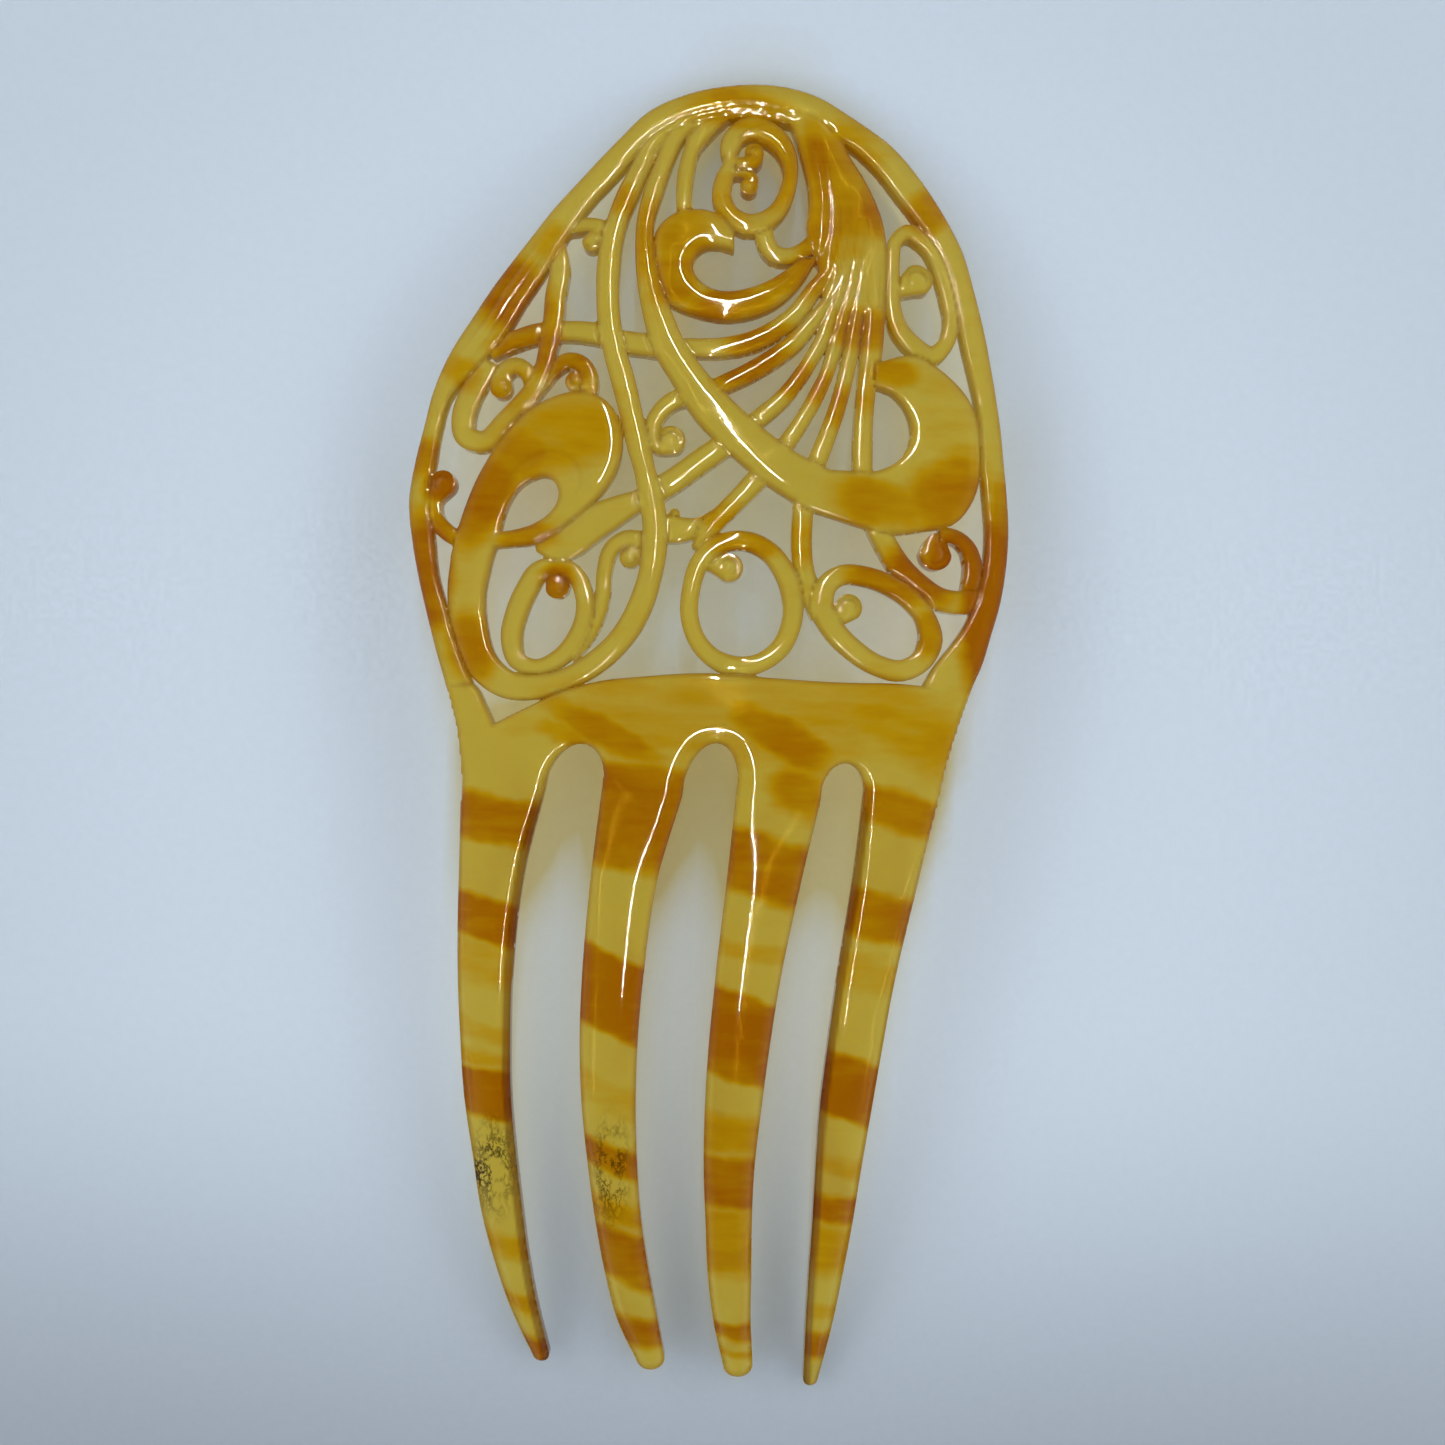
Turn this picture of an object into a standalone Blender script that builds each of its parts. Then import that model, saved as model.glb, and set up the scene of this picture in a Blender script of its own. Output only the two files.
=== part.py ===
# Decorative hair comb: a pierced and carved sheet of banded celluloid, bent warm over a form.
# Every member is drawn on the flat sheet in millimetres, u across the comb and v along it,
# trimmed clear of the members it grows out of, and then bent with the sheet.

import bpy
import bmesh
from math import acos, ceil, cos, hypot, pi, radians, sin

MM = 0.001

# Main sizes, measured on the flat sheet
COMB_LENGTH = 153.6        # tooth tips to the top of the head
HEAD_WIDTH = 68.0          # across the rims at their widest
ALONG = COMB_LENGTH / 153.6    # scale of the drawing below, along and across
ACROSS = HEAD_WIDTH / 68.0
STRAND_SCALE = (ALONG + ACROSS) / 2

# Sheet
SHEET_THICKNESS = 2.8
EDGE_ROUND = 0.75          # width of the carved shoulder along every edge
EDGE_DROP = 0.65           # depth of that shoulder
ARCH_RADIUS = 228.0        # bend along the comb
CAMBER_RADIUS = 170.0      # bend across the comb
JOINT_GAP = 0.3            # clearance between neighbouring members

# Bar and teeth
ROOT_LINE = -6.0           # where the teeth leave the bar
TOOTH_TIP_THICKNESS = 2.0
ARCH_STEPS = 10
ARCH_TOPS = (-1.45, -0.85, -2.6)
ARCH_LEANS = (0.7, 0.6, 0.2)
BAR_PANEL = 6.0            # spacing of the lines on which the wide bar follows the bend

# Fineness of the curves
RUN_PITCH = 4.5
TURN_STEP = radians(24)
ROUND_END_ANGLES = (28, 52, 74)

PALE = (0.62, 0.47, 0.07)
AMBER = (0.60, 0.24, 0.01)

# Teeth as stations down the middle: across, along, width
TEETH = {
    "tooth_1": [(-21.5, ROOT_LINE, 9.5), (-22.5, -15, 7.55), (-23.0, -28, 6.2), (-22.8, -35, 5.75),
                (-22.4, -42, 5.4), (-21.5, -49, 5.0), (-20.5, -56, 4.75), (-19.3, -62, 4.0),
                (-17.75, -68, 3.1), (-15.75, -73.9, 1.9)],
    "tooth_2": [(-5.9, ROOT_LINE, 9.0), (-7.5, -15, 7.5), (-8.6, -28, 6.8), (-8.8, -35, 6.5),
                (-8.6, -42, 6.1), (-8.0, -49, 5.6), (-7.15, -56, 5.2), (-6.1, -62, 5.0),
                (-4.75, -68, 4.6), (-3.05, -73.4, 3.3)],
    "tooth_3": [(9.2, ROOT_LINE, 9.45), (8.0, -15, 8.3), (6.4, -28, 7.15), (5.8, -35, 6.8),
                (5.4, -42, 6.35), (5.2, -49, 5.75), (5.4, -56, 5.25), (5.7, -62, 5.0),
                (6.2, -68, 4.3), (7.1, -74.0, 3.4)],
    "tooth_4": [(22.9, ROOT_LINE, 8.45), (21.6, -15, 7.35), (19.6, -28, 6.45), (18.8, -35, 6.2),
                (18.1, -42, 5.9), (17.6, -49, 5.25), (17.2, -56, 4.6), (16.75, -62, 3.95),
                (16.3, -68, 3.2), (15.6, -76.0, 1.7)],
}

# Outline of the bar above the teeth
BAR_LEFT = [(-28.35, 4.8), (-27.7, 2.4), (-27.0, 0.0), (-26.55, -2.8)]
BAR_RIGHT = [(27.8, -2.8), (28.5, 0.0), (29.3, 2.7), (30.3, 5.9)]
BAR_TOP = [(22.5, 6.5), (15.0, 6.4), (8.0, 6.6), (0.0, 6.85), (-6.0, 6.3), (-11.5, 5.5),
           (-15.5, 4.2), (-19.0, 2.5), (-22.8, 0.5)]
BAR_NOTCH = [(-24.6, 4.1), (-25.2, 4.8)]


def drawn(points):
    # Plan points, or stations with a width, at the size of the comb.
    scales = (ACROSS, ALONG, STRAND_SCALE)
    return [tuple(x * scale for x, scale in zip(point, scales)) for point in points]


def strand(stations, closed=False, round_end=False):
    return {"stations": drawn(stations), "closed": closed, "round_end": round_end}


def band(first_edge, second_edge):
    return {"first": drawn(first_edge), "second": drawn(second_edge)}


# The head's members in the order in which they were drawn: a later one stops at an earlier one.
# Each has its share of amber and its strands, whose stations are across, along and width.
HEAD = {
    "crown": (0.35, [strand([
        (-10.4, 68.2, 3.0), (-7.0, 71.3, 4.0), (-3.0, 73.3, 4.2), (1.5, 74.4, 4.3),
        (6.0, 74.5, 4.6), (10.0, 73.6, 4.6), (13.6, 71.9, 3.8)])]),
    "left_rim": (0.5, [strand([
        (-26.8, 4.4, 3.0), (-28.55, 9, 2.4), (-29.8, 13, 2.3), (-31.0, 17, 2.1), (-31.75, 21, 2.4),
        (-32.4, 25.5, 2.3), (-31.95, 30, 2.2), (-31.3, 34, 1.9), (-30.4, 38, 2.1),
        (-28.5, 41.4, 3.4), (-25.3, 46.1, 4.4), (-23.1, 50, 4.2), (-21.2, 53, 4.0),
        (-19.4, 56, 3.6), (-17.4, 59.2, 3.3), (-15.1, 62.4, 2.95), (-13.0, 65, 3.0),
        (-10.0, 68.6, 2.8)])]),
    "right_rim": (0.45, [strand([
        (13.2, 72.3, 3.4), (15.2, 71.2, 3.3), (18.6, 68.6, 3.5), (21.7, 64.9, 3.6), (24.4, 61.1, 3.3),
        (27.0, 57, 2.5), (28.5, 52, 2.5), (29.6, 47, 2.8), (30.5, 43, 2.6), (31.15, 40, 2.4),
        (31.8, 36, 2.4), (32.15, 32, 2.6), (32.6, 28, 2.6), (32.9, 24, 2.5), (32.7, 20, 2.5),
        (32.0, 16, 2.7), (31.0, 13, 3.1), (29.7, 10, 4.1), (28.3, 7.5, 4.9), (27.2, 5.6, 5.4)])]),
    "ribbon": (0.1, [strand([
        (-8.0, 68.2, 1.9), (-9.3, 64.7, 2.2), (-10.2, 62.4, 2.4), (-11.1, 59.8, 2.3),
        (-11.75, 57, 2.4), (-12.1, 53, 2.6), (-12.05, 50, 2.5), (-11.65, 46.2, 2.6),
        (-10.9, 43, 2.6), (-9.8, 39.5, 2.7), (-8.9, 36.3, 2.55), (-7.75, 32, 2.6), (-6.9, 29, 2.4),
        (-6.2, 26.3, 2.8), (-5.65, 23.5, 2.7), (-5.6, 20.5, 2.8), (-5.95, 17.5, 2.6),
        (-6.6, 15, 2.7), (-7.6, 12.5, 2.7), (-9.45, 9.7, 2.6), (-11.8, 7.5, 2.6), (-15.1, 5.6, 2.4),
        (-17.6, 4.8, 2.7)])]),
    "main_stem": (0.1, [strand([
        (-5.1, 70.6, 2.2), (-5.9, 67.6, 2.0), (-6.6, 65.3, 2.0), (-7.4, 62.4, 2.15), (-8.1, 59, 1.95),
        (-8.1, 56, 2.1), (-7.75, 53, 2.4), (-7.1, 50, 2.8), (-6.15, 47, 3.3), (-5.0, 44.1, 3.6),
        (-3.0, 40.9, 3.7), (0.35, 36.6, 4.5), (4.1, 33.2, 4.6), (7.9, 30.3, 4.8), (12.9, 27.8, 5.2),
        (17.0, 27.0, 6.3)])]),
    "paisley_stem": (0.6, [strand([
        (-16.6, 5.1, 2.5), (-18.6, 4.7, 2.8), (-21.5, 4.9, 3.2), (-24.4, 7.1, 3.6), (-25.95, 11, 3.9),
        (-26.5, 15, 4.2), (-26.1, 19, 4.6), (-25.4, 22.2, 4.8)])]),
    "crescent": (0.4, [band(
        [(15.6, 24.3), (18, 23.8), (21.2, 23.3), (24.5, 23.9), (27.9, 24.9), (30.0, 27.8),
         (30.8, 31.5), (30.7, 35.0), (29.6, 38.8), (26.8, 42.0), (22.8, 44.1), (18.4, 42.9)],
        [(15.6, 30.2), (17.4, 30.15), (18.9, 30.4), (20.2, 30.95), (21.4, 31.8), (22.2, 33.0),
         (22.65, 34.4), (22.65, 35.9), (22.2, 37.4), (21.4, 38.6), (20.2, 39.6), (18.3, 40.15)])]),
    "plume": (0.55, [band(
        [(8.6, 70.6), (9.6, 66.8), (10.2, 64.2), (10.4, 61.5), (10.2, 58.8), (10.5, 56.6),
         (11.6, 54.2), (12.0, 51.3), (12.7, 48.8)],
        [(13.7, 70.6), (15.0, 68.0), (16.6, 65.4), (17.9, 62.8), (18.9, 60.0), (19.4, 57.0),
         (19.5, 53.5), (19.4, 50.5), (19.3, 47.9)])]),
    "ear_scroll": (0.5, [band(
        [(2.0, 57.75), (0.4, 59.7), (-2.0, 60.4), (-4.7, 59.9), (-6.6, 58.0), (-7.3, 55.0),
         (-7.0, 51.7), (-5.3, 49.0), (-2.2, 47.6), (1.2, 47.05), (4.5, 47.65), (7.5, 49.3),
         (9.7, 51.7), (11.6, 55.2)],
        [(2.1, 55.35), (1.2, 55.7), (0.1, 55.9), (-1.1, 55.75), (-2.0, 55.05), (-2.5, 53.9),
         (-2.35, 52.6), (-1.55, 51.5), (-0.4, 50.75), (1.2, 50.45), (3.2, 50.75), (5.4, 51.6),
         (7.3, 52.8), (9.4, 54.7)])]),
    "paisley": (0.5, [band(
        [(-28.0, 21.4), (-26.9, 25.2), (-25.5, 28.8), (-23.7, 32.0), (-21.4, 35.0), (-18.4, 37.2),
         (-15.3, 38.2), (-12.2, 37.6), (-10.3, 35.6), (-9.7, 32.8), (-10.2, 29.6), (-11.7, 26.9),
         (-14.6, 24.9), (-18.0, 22.7), (-21.3, 21.2)],
        [(-22.7, 21.4), (-22.1, 24.0), (-21.3, 25.8), (-20.4, 27.2), (-19.4, 28.1), (-18.5, 28.4),
         (-17.7, 28.4), (-17.0, 28.1), (-16.7, 27.6), (-16.6, 27.0), (-16.75, 26.3), (-17.2, 25.5),
         (-18.2, 24.6), (-19.8, 23.6), (-21.7, 22.4)])]),
    "paisley_tail": (0.35, [band(
        [(-6.4, 27.9), (-9.5, 27.1), (-12.6, 25.9), (-15.6, 24.4), (-18.0, 22.9), (-20.8, 21.7),
         (-24.6, 21.3)],
        [(-6.4, 24.9), (-8.8, 23.7), (-11.5, 21.9), (-14.0, 20.0), (-17.0, 20.2), (-20.0, 20.6),
         (-24.0, 20.0)])]),
    "centre_oval": (0.35, [
        strand([
            (4.6, 21.75, 2.1), (7.2, 20.6, 2.2), (9.0, 18.3, 2.3), (9.95, 15.4, 2.3),
            (9.85, 12.5, 2.2), (8.7, 9.9, 2.2), (6.5, 8.2, 2.1), (3.9, 7.7, 2.3), (1.2, 8.7, 2.1),
            (-0.6, 10.7, 2.0), (-1.45, 13.4, 2.0), (-1.3, 16.3, 2.0), (-0.45, 19.2, 2.1),
            (1.7, 21.3, 2.1)], closed=True),
        strand([(-0.5, 19.3, 1.6), (1.1, 19.1, 2.2), (2.75, 18.65, 3.2)], round_end=True)]),
    "right_oval": (0.55, [
        strand([
            (15.3, 18.4, 2.2), (17.8, 18.4, 2.2), (20.6, 17.6, 2.2), (23.0, 16.2, 2.2),
            (24.9, 14.1, 2.2), (25.6, 11.6, 2.6), (24.7, 9.3, 2.4), (22.4, 8.0, 2.4),
            (19.6, 8.5, 2.3), (16.9, 10.1, 2.4), (14.4, 12.5, 2.5), (13.2, 15.0, 2.6),
            (13.7, 17.2, 2.4)], closed=True),
        strand([(13.9, 13.3, 1.6), (15.2, 13.9, 2.4), (16.15, 14.75, 3.1)], round_end=True)]),
    "left_oval": (0.4, [
        strand([
            (-16.6, 18.3, 2.0), (-14.4, 17.5, 2.0), (-13.2, 15.2, 2.0), (-13.05, 12.8, 2.0),
            (-13.9, 10.2, 2.1), (-15.7, 8.0, 2.0), (-18.2, 6.9, 1.8), (-20.4, 7.6, 2.0),
            (-21.15, 10.0, 2.3), (-20.7, 12.9, 2.4), (-19.6, 15.7, 2.4), (-18.4, 17.6, 2.3)],
            closed=True),
        strand([(-17.2, 18.0, 1.6), (-16.6, 16.9, 2.0), (-16.2, 15.95, 2.7)], round_end=True)]),
    "drop_stem": (0.3, [strand([
        (10.9, 27.2, 2.3), (10.7, 24.0, 2.3), (10.7, 21.5, 2.3), (11.0, 19.0, 2.3),
        (11.8, 16.4, 2.4), (13.2, 13.6, 2.3)])]),
    "ribbon_hook": (0.2, [
        strand([
            (-6.4, 21.3, 2.0), (-8.8, 21.5, 1.9), (-10.3, 20.4, 1.8), (-11.0, 18.0, 1.7),
            (-11.1, 15.2, 1.7), (-11.6, 12.6, 1.6), (-12.6, 10.4, 1.5), (-14.4, 8.0, 1.4)]),
        strand([(-7.9, 21.0, 1.2), (-7.9, 20.2, 1.8), (-8.25, 19.4, 2.3)], round_end=True)]),
    "right_loop": (0.25, [
        strand([
            (22.2, 59.3, 2.0), (20.6, 58.3, 1.7), (20.1, 55.8, 1.5), (20.2, 52.9, 1.6),
            (20.5, 50.3, 1.8), (21.2, 48.0, 2.1), (22.6, 45.5, 2.2), (24.9, 44.3, 2.2),
            (26.4, 45.8, 1.8), (26.9, 48.4, 1.8), (26.8, 51.0, 1.8), (26.1, 54.0, 1.9),
            (25.2, 56.5, 1.9), (24.0, 58.5, 1.9)], closed=True),
        strand([(20.4, 51.2, 1.4), (21.8, 52.2, 2.2), (23.1, 53.3, 3.6)], round_end=True)]),
    "eye_ring": (0.45, [strand([
        (4.3, 71.1, 2.6), (7.1, 69.3, 2.0), (8.2, 66.2, 1.8), (8.0, 63.2, 1.9), (6.6, 60.5, 2.1),
        (4.2, 58.9, 2.6), (1.4, 59.8, 2.5), (0.3, 62.5, 2.1), (0.75, 65.0, 1.8), (1.1, 67.2, 1.9),
        (1.9, 69.8, 2.0)], closed=True)]),
    "eye_curls": (0.3, [
        strand([(0.8, 66.0, 1.7), (2.6, 66.0, 1.8), (3.9, 66.7, 2.0), (3.75, 68.0, 2.3)],
               round_end=True),
        strand([(2.0, 65.8, 1.5), (3.6, 65.2, 1.7), (3.35, 63.75, 2.2)], round_end=True)]),
    "small_hook": (0.3, [strand([
        (5.3, 58.6, 2.2), (5.6, 56.8, 2.1), (6.6, 55.3, 2.1), (8.3, 55.1, 1.9), (10.0, 56.0, 1.8),
        (11.3, 57.4, 1.8)])]),
    "short_strand": (0.15, [strand([
        (-1.9, 72.0, 1.5), (-3.1, 68.3, 1.7), (-3.7, 65.3, 1.9), (-3.9, 62.5, 1.8), (-3.7, 59.4, 1.7)])]),
    "left_tendril": (0.5, [strand([
        (-18.2, 56.4, 1.8), (-17.6, 53.2, 2.2), (-17.95, 49.5, 2.3), (-18.05, 46.5, 2.3),
        (-18.45, 43.5, 2.1), (-18.95, 41.0, 1.9), (-19.8, 38.9, 1.9), (-21.2, 37.0, 1.9),
        (-23.1, 34.8, 2.0), (-25.3, 32.4, 2.4), (-27.4, 33.0, 2.5), (-27.8, 35.2, 2.6),
        (-27.3, 37.4, 2.6), (-26.2, 39.6, 2.4), (-25.0, 41.8, 2.2)])]),
    "left_loop_curl": (0.35, [strand([
        (-26.0, 40.6, 2.2), (-24.4, 40.2, 3.0), (-22.8, 39.4, 4.2)], round_end=True)]),
    "crossbar_left": (0.5, [strand([
        (-25.2, 42.9, 2.0), (-22.5, 44.2, 2.2), (-20.2, 45.0, 2.3), (-17.9, 45.4, 2.3)])]),
    "crossbar_middle": (0.3, [strand([
        (-18.2, 45.4, 2.2), (-15.0, 45.35, 2.3), (-11.4, 44.9, 2.6)])]),
    "crossbar_right": (0.1, [strand([
        (-11.4, 44.4, 2.5), (-8.6, 44.0, 2.5), (-5.2, 43.7, 2.7)])]),
    "paisley_hook": (0.55, [
        strand([
            (-20.6, 36.9, 1.5), (-18.9, 39.3, 1.6), (-17.5, 41.1, 1.7), (-16.0, 41.9, 1.8),
            (-14.5, 41.4, 1.9), (-13.6, 40.0, 1.9), (-13.7, 37.6, 2.0)]),
        strand([(-13.6, 39.0, 1.6), (-15.1, 39.4, 2.5)], round_end=True)]),
    "left_curl": (0.6, [strand([
        (-26.6, 20.6, 1.9), (-29.2, 22.1, 1.9), (-30.7, 23.9, 2.0), (-30.9, 25.6, 2.2),
        (-29.8, 27.5, 3.1)], round_end=True)]),
    "rim_curl": (0.25, [
        strand([(-17.0, 57.9, 1.6), (-14.5, 58.3, 1.7), (-11.8, 57.5, 1.9)]),
        strand([(-13.0, 57.6, 1.5), (-14.1, 56.1, 2.2)], round_end=True)]),
    "ray_1": (0.5, [strand([
        (12.9, 53.6, 1.6), (10.9, 50.7, 1.9), (9.3, 48.2, 2.1), (7.1, 46.2, 2.2), (4.3, 44.6, 2.3),
        (1.3, 43.85, 2.2), (-3.6, 43.6, 2.1)])]),
    "ray_2": (0.5, [strand([
        (13.4, 50.4, 1.4), (11.2, 47.4, 1.8), (9.4, 45.0, 2.0), (7.0, 42.9, 2.1), (4.2, 41.0, 2.1),
        (-0.2, 38.7, 2.0)])]),
    "ray_3": (0.35, [strand([
        (13.4, 49.8, 1.4), (12.5, 45.7, 1.5), (11.2, 43.0, 1.7), (9.7, 40.4, 1.8), (7.9, 38.0, 1.9),
        (5.7, 35.9, 2.0), (3.6, 34.0, 2.0)])]),
    "ray_4": (0.35, [strand([
        (14.6, 49.4, 1.4), (13.8, 44.5, 1.4), (12.9, 41.2, 1.6), (11.9, 38.8, 1.8), (10.6, 36.2, 1.8),
        (9.2, 33.8, 1.9), (7.6, 31.4, 2.0)])]),
    "ray_5": (0.35, [strand([
        (16.1, 49.4, 1.5), (15.5, 43.4, 1.6), (14.85, 40.0, 1.8), (14.2, 37.3, 1.9), (13.3, 34.4, 2.0),
        (12.4, 31.8, 2.1), (11.6, 29.4, 2.1)])]),
    "ray_6": (0.4, [strand([
        (18.2, 49.4, 2.0), (17.9, 44.0, 2.2), (17.5, 40.0, 2.1), (17.25, 36.0, 2.1),
        (17.25, 32.5, 2.2), (17.3, 28.8, 2.2)])]),
    "centre_curl": (0.1, [
        strand([(-1.6, 38.4, 2.2), (-4.7, 37.0, 2.0), (-6.0, 35.3, 1.9), (-6.4, 33.4, 1.9),
                (-6.6, 31.6, 1.9)]),
        strand([(-6.2, 32.1, 1.5), (-5.3, 32.2, 2.2), (-4.25, 32.75, 3.4)], round_end=True)]),
    "strut_upper": (0.15, [strand([
        (3.4, 33.8, 2.6), (-0.9, 30.5, 2.7), (-3.4, 28.5, 2.7), (-6.4, 26.5, 2.8)])]),
    "strut_lower": (0.25, [strand([
        (6.9, 30.5, 2.5), (4.2, 27.2, 2.3), (2.2, 25.0, 2.2), (0.6, 23.2, 2.3), (-0.6, 20.4, 2.0)])]),
    "leaf": (0.25, [
        strand([(2.0, 24.8, 1.8), (-1.0, 23.0, 2.2), (-3.0, 22.7, 2.9), (-5.4, 22.9, 3.2)]),
        strand([(-3.6, 23.4, 1.6), (-3.5, 24.5, 1.2)], round_end=True)]),
    "right_stem": (0.6, [strand([
        (18.5, 25.4, 2.6), (20.3, 21.9, 2.5), (21.9, 19.6, 2.6), (24.1, 17.7, 2.5),
        (26.6, 16.2, 2.6), (29.3, 16.0, 2.6), (32.2, 16.8, 2.2)])]),
    "lower_scroll": (0.6, [
        strand([(29.6, 16.0, 1.9), (30.2, 18.6, 2.2), (30.1, 20.8, 2.0), (29.4, 22.4, 1.8),
                (28.0, 23.4, 1.7), (26.2, 23.6, 1.7)]),
        strand([(26.3, 23.5, 1.6), (25.9, 22.4, 2.8), (25.8, 21.3, 3.7)], round_end=True)]),
}


def smooth_run(rows, closed):
    # A smooth curve through the rows: the first two numbers are plan coordinates, the rest ride along.
    count = len(rows)

    def row(i):
        return rows[i % count] if closed else rows[min(max(i, 0), count - 1)]

    def slope(i):
        a, b, c = row(i - 1), row(i), row(i + 1)
        before = hypot(b[0] - a[0], b[1] - a[1])
        after = hypot(c[0] - b[0], c[1] - b[1])
        if before == 0:
            return [(q - p) / after for p, q in zip(b, c)]
        if after == 0:
            return [(q - p) / before for p, q in zip(a, b)]
        share = after / (before + after)
        return [(q - p) / before * share + (r - q) / after * (1 - share) for p, q, r in zip(a, b, c)]

    result = []
    for i in range(count if closed else count - 1):
        a, b = row(i), row(i + 1)
        slope_a, slope_b = slope(i), slope(i + 1)
        length = hypot(b[0] - a[0], b[1] - a[1])
        dot = slope_a[0] * slope_b[0] + slope_a[1] * slope_b[1]
        size = hypot(slope_a[0], slope_a[1]) * hypot(slope_b[0], slope_b[1])
        turn = acos(max(-1.0, min(1.0, dot / size)))
        steps = max(1, ceil(length / RUN_PITCH), ceil(turn / TURN_STEP))
        for step in range(steps):
            t = step / steps
            weights = (2 * t ** 3 - 3 * t ** 2 + 1, length * (t ** 3 - 2 * t ** 2 + t),
                       3 * t ** 2 - 2 * t ** 3, length * (t ** 3 - t ** 2))
            result.append([sum(w * x for w, x in zip(weights, xs))
                           for xs in zip(a, slope_a, b, slope_b)])
    if not closed:
        result.append(list(rows[-1]))
    return result


def strand_edges(shape):
    # The two edges of a strand, as pairs of plan points at the stations of its smooth run.
    closed = shape["closed"]
    rows = smooth_run(shape["stations"], closed)
    count = len(rows)
    pairs = []
    for i, (u, v, width) in enumerate(rows):
        back = rows[i - 1] if closed or i > 0 else rows[i]
        ahead = rows[(i + 1) % count] if closed or i < count - 1 else rows[i]
        length = hypot(ahead[0] - back[0], ahead[1] - back[1])
        du = (ahead[0] - back[0]) / length
        dv = (ahead[1] - back[1]) / length
        half = width / 2
        pairs.append(((u - dv * half, v + du * half), (u + dv * half, v - du * half)))
    if shape["round_end"]:
        for angle in ROUND_END_ANGLES:
            reach = half * sin(radians(angle))
            side = half * cos(radians(angle))
            pairs.append(((u + du * reach - dv * side, v + dv * reach + du * side),
                          (u + du * reach + dv * side, v + dv * reach - du * side)))
    return pairs


def band_edges(shape):
    rows = [((a[0] + b[0]) / 2, (a[1] + b[1]) / 2, *a, *b)
            for a, b in zip(shape["first"], shape["second"])]
    return [((r[2], r[3]), (r[4], r[5])) for r in smooth_run(rows, False)]


def edges_of(shape):
    return band_edges(shape) if "first" in shape else strand_edges(shape)


def carved_section(pair, thickness):
    # Square foot, sloped shoulders and a flat top between the two edges.
    (ua, va), (ub, vb) = pair
    width = hypot(ub - ua, vb - va)
    inset = min(EDGE_ROUND, 0.22 * width) / width
    top = thickness / 2
    shoulder = top - EDGE_DROP
    places = ((0, -top), (1, -top), (1, shoulder), (1 - inset, top), (inset, top), (0, shoulder))
    return [(ua + (ub - ua) * s, va + (vb - va) * s, w) for s, w in places]


def clearance_section(pair, reach):
    (ua, va), (ub, vb) = pair
    width = hypot(ub - ua, vb - va)
    grow = JOINT_GAP / width
    places = ((-grow, -reach), (1 + grow, -reach), (1 + grow, reach), (-grow, reach))
    return [(ua + (ub - ua) * s, va + (vb - va) * s, w) for s, w in places]


def moved_pair(pair, toward, distance):
    # The pair moved away from its neighbour, for the clearance beyond a strand's end.
    mid = [(a + b) / 2 for a, b in zip(*pair)]
    other = [(a + b) / 2 for a, b in zip(*toward)]
    length = hypot(mid[0] - other[0], mid[1] - other[1])
    shift = [(m - o) / length * distance for m, o in zip(mid, other)]
    return tuple((p[0] + shift[0], p[1] + shift[1]) for p in pair)


def finished_mesh(name, bm):
    bmesh.ops.recalc_face_normals(bm, faces=bm.faces)
    mesh = bpy.data.meshes.new(name)
    bm.to_mesh(mesh)
    bm.free()
    return mesh


def lofted(name, sections, closed):
    bm = bmesh.new()
    rings = [[bm.verts.new(point) for point in section] for section in sections]
    size = len(rings[0])
    for i in range(len(rings) if closed else len(rings) - 1):
        ring = rings[i]
        following = rings[(i + 1) % len(rings)]
        for k in range(size):
            bm.faces.new((ring[k], ring[(k + 1) % size], following[(k + 1) % size], following[k]))
    if not closed:
        bm.faces.new(rings[0])
        bm.faces.new(rings[-1])
    return finished_mesh(name, bm)


def offset_outline(outline, distance):
    # The outline moved inward by the distance, mitred at its corners.
    count = len(outline)
    result = []
    for i, (u, v) in enumerate(outline):
        before, after = outline[i - 1], outline[(i + 1) % count]
        first = hypot(u - before[0], v - before[1])
        second = hypot(after[0] - u, after[1] - v)
        na = (-(v - before[1]) / first, (u - before[0]) / first)
        nb = (-(after[1] - v) / second, (after[0] - u) / second)
        scale = distance / max(0.4, 1 + na[0] * nb[0] + na[1] * nb[1])
        result.append((u + (na[0] + nb[0]) * scale, v + (na[1] + nb[1]) * scale))
    return result


def layered_plate(name, layers):
    bm = bmesh.new()
    rings = [[bm.verts.new((u, v, w)) for u, v in outline] for outline, w in layers]
    size = len(rings[0])
    for lower, upper in zip(rings, rings[1:]):
        for k in range(size):
            bm.faces.new((lower[k], lower[(k + 1) % size], upper[(k + 1) % size], upper[k]))
    flats = [bm.faces.new(rings[0]), bm.faces.new(rings[-1])]
    bmesh.ops.triangulate(bm, faces=flats)
    return finished_mesh(name, bm)


def bar_outline():
    # Counterclockwise from the left shoulder, along the tooth roots and slot arches, to the top.
    firsts = [drawn(rows)[0] for rows in TEETH.values()]
    roots = [(u - width / 2, u + width / 2) for u, v, width in firsts]
    root_line = ROOT_LINE * ALONG
    outline = drawn(BAR_LEFT) + [(roots[0][0], root_line)]
    for i, (top, lean) in enumerate(zip(ARCH_TOPS, ARCH_LEANS)):
        left, right = roots[i][1], roots[i + 1][0]
        middle, half = (left + right) / 2, (right - left) / 2
        rise = (top - ROOT_LINE) * ALONG
        for step in range(ARCH_STEPS + 1):
            t = pi * (1 - step / ARCH_STEPS)
            outline.append((middle + lean * sin(t) + half * cos(t), root_line + rise * sin(t)))
    return outline + [(roots[-1][1], root_line)] + drawn(BAR_RIGHT + BAR_TOP + BAR_NOTCH)


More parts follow.
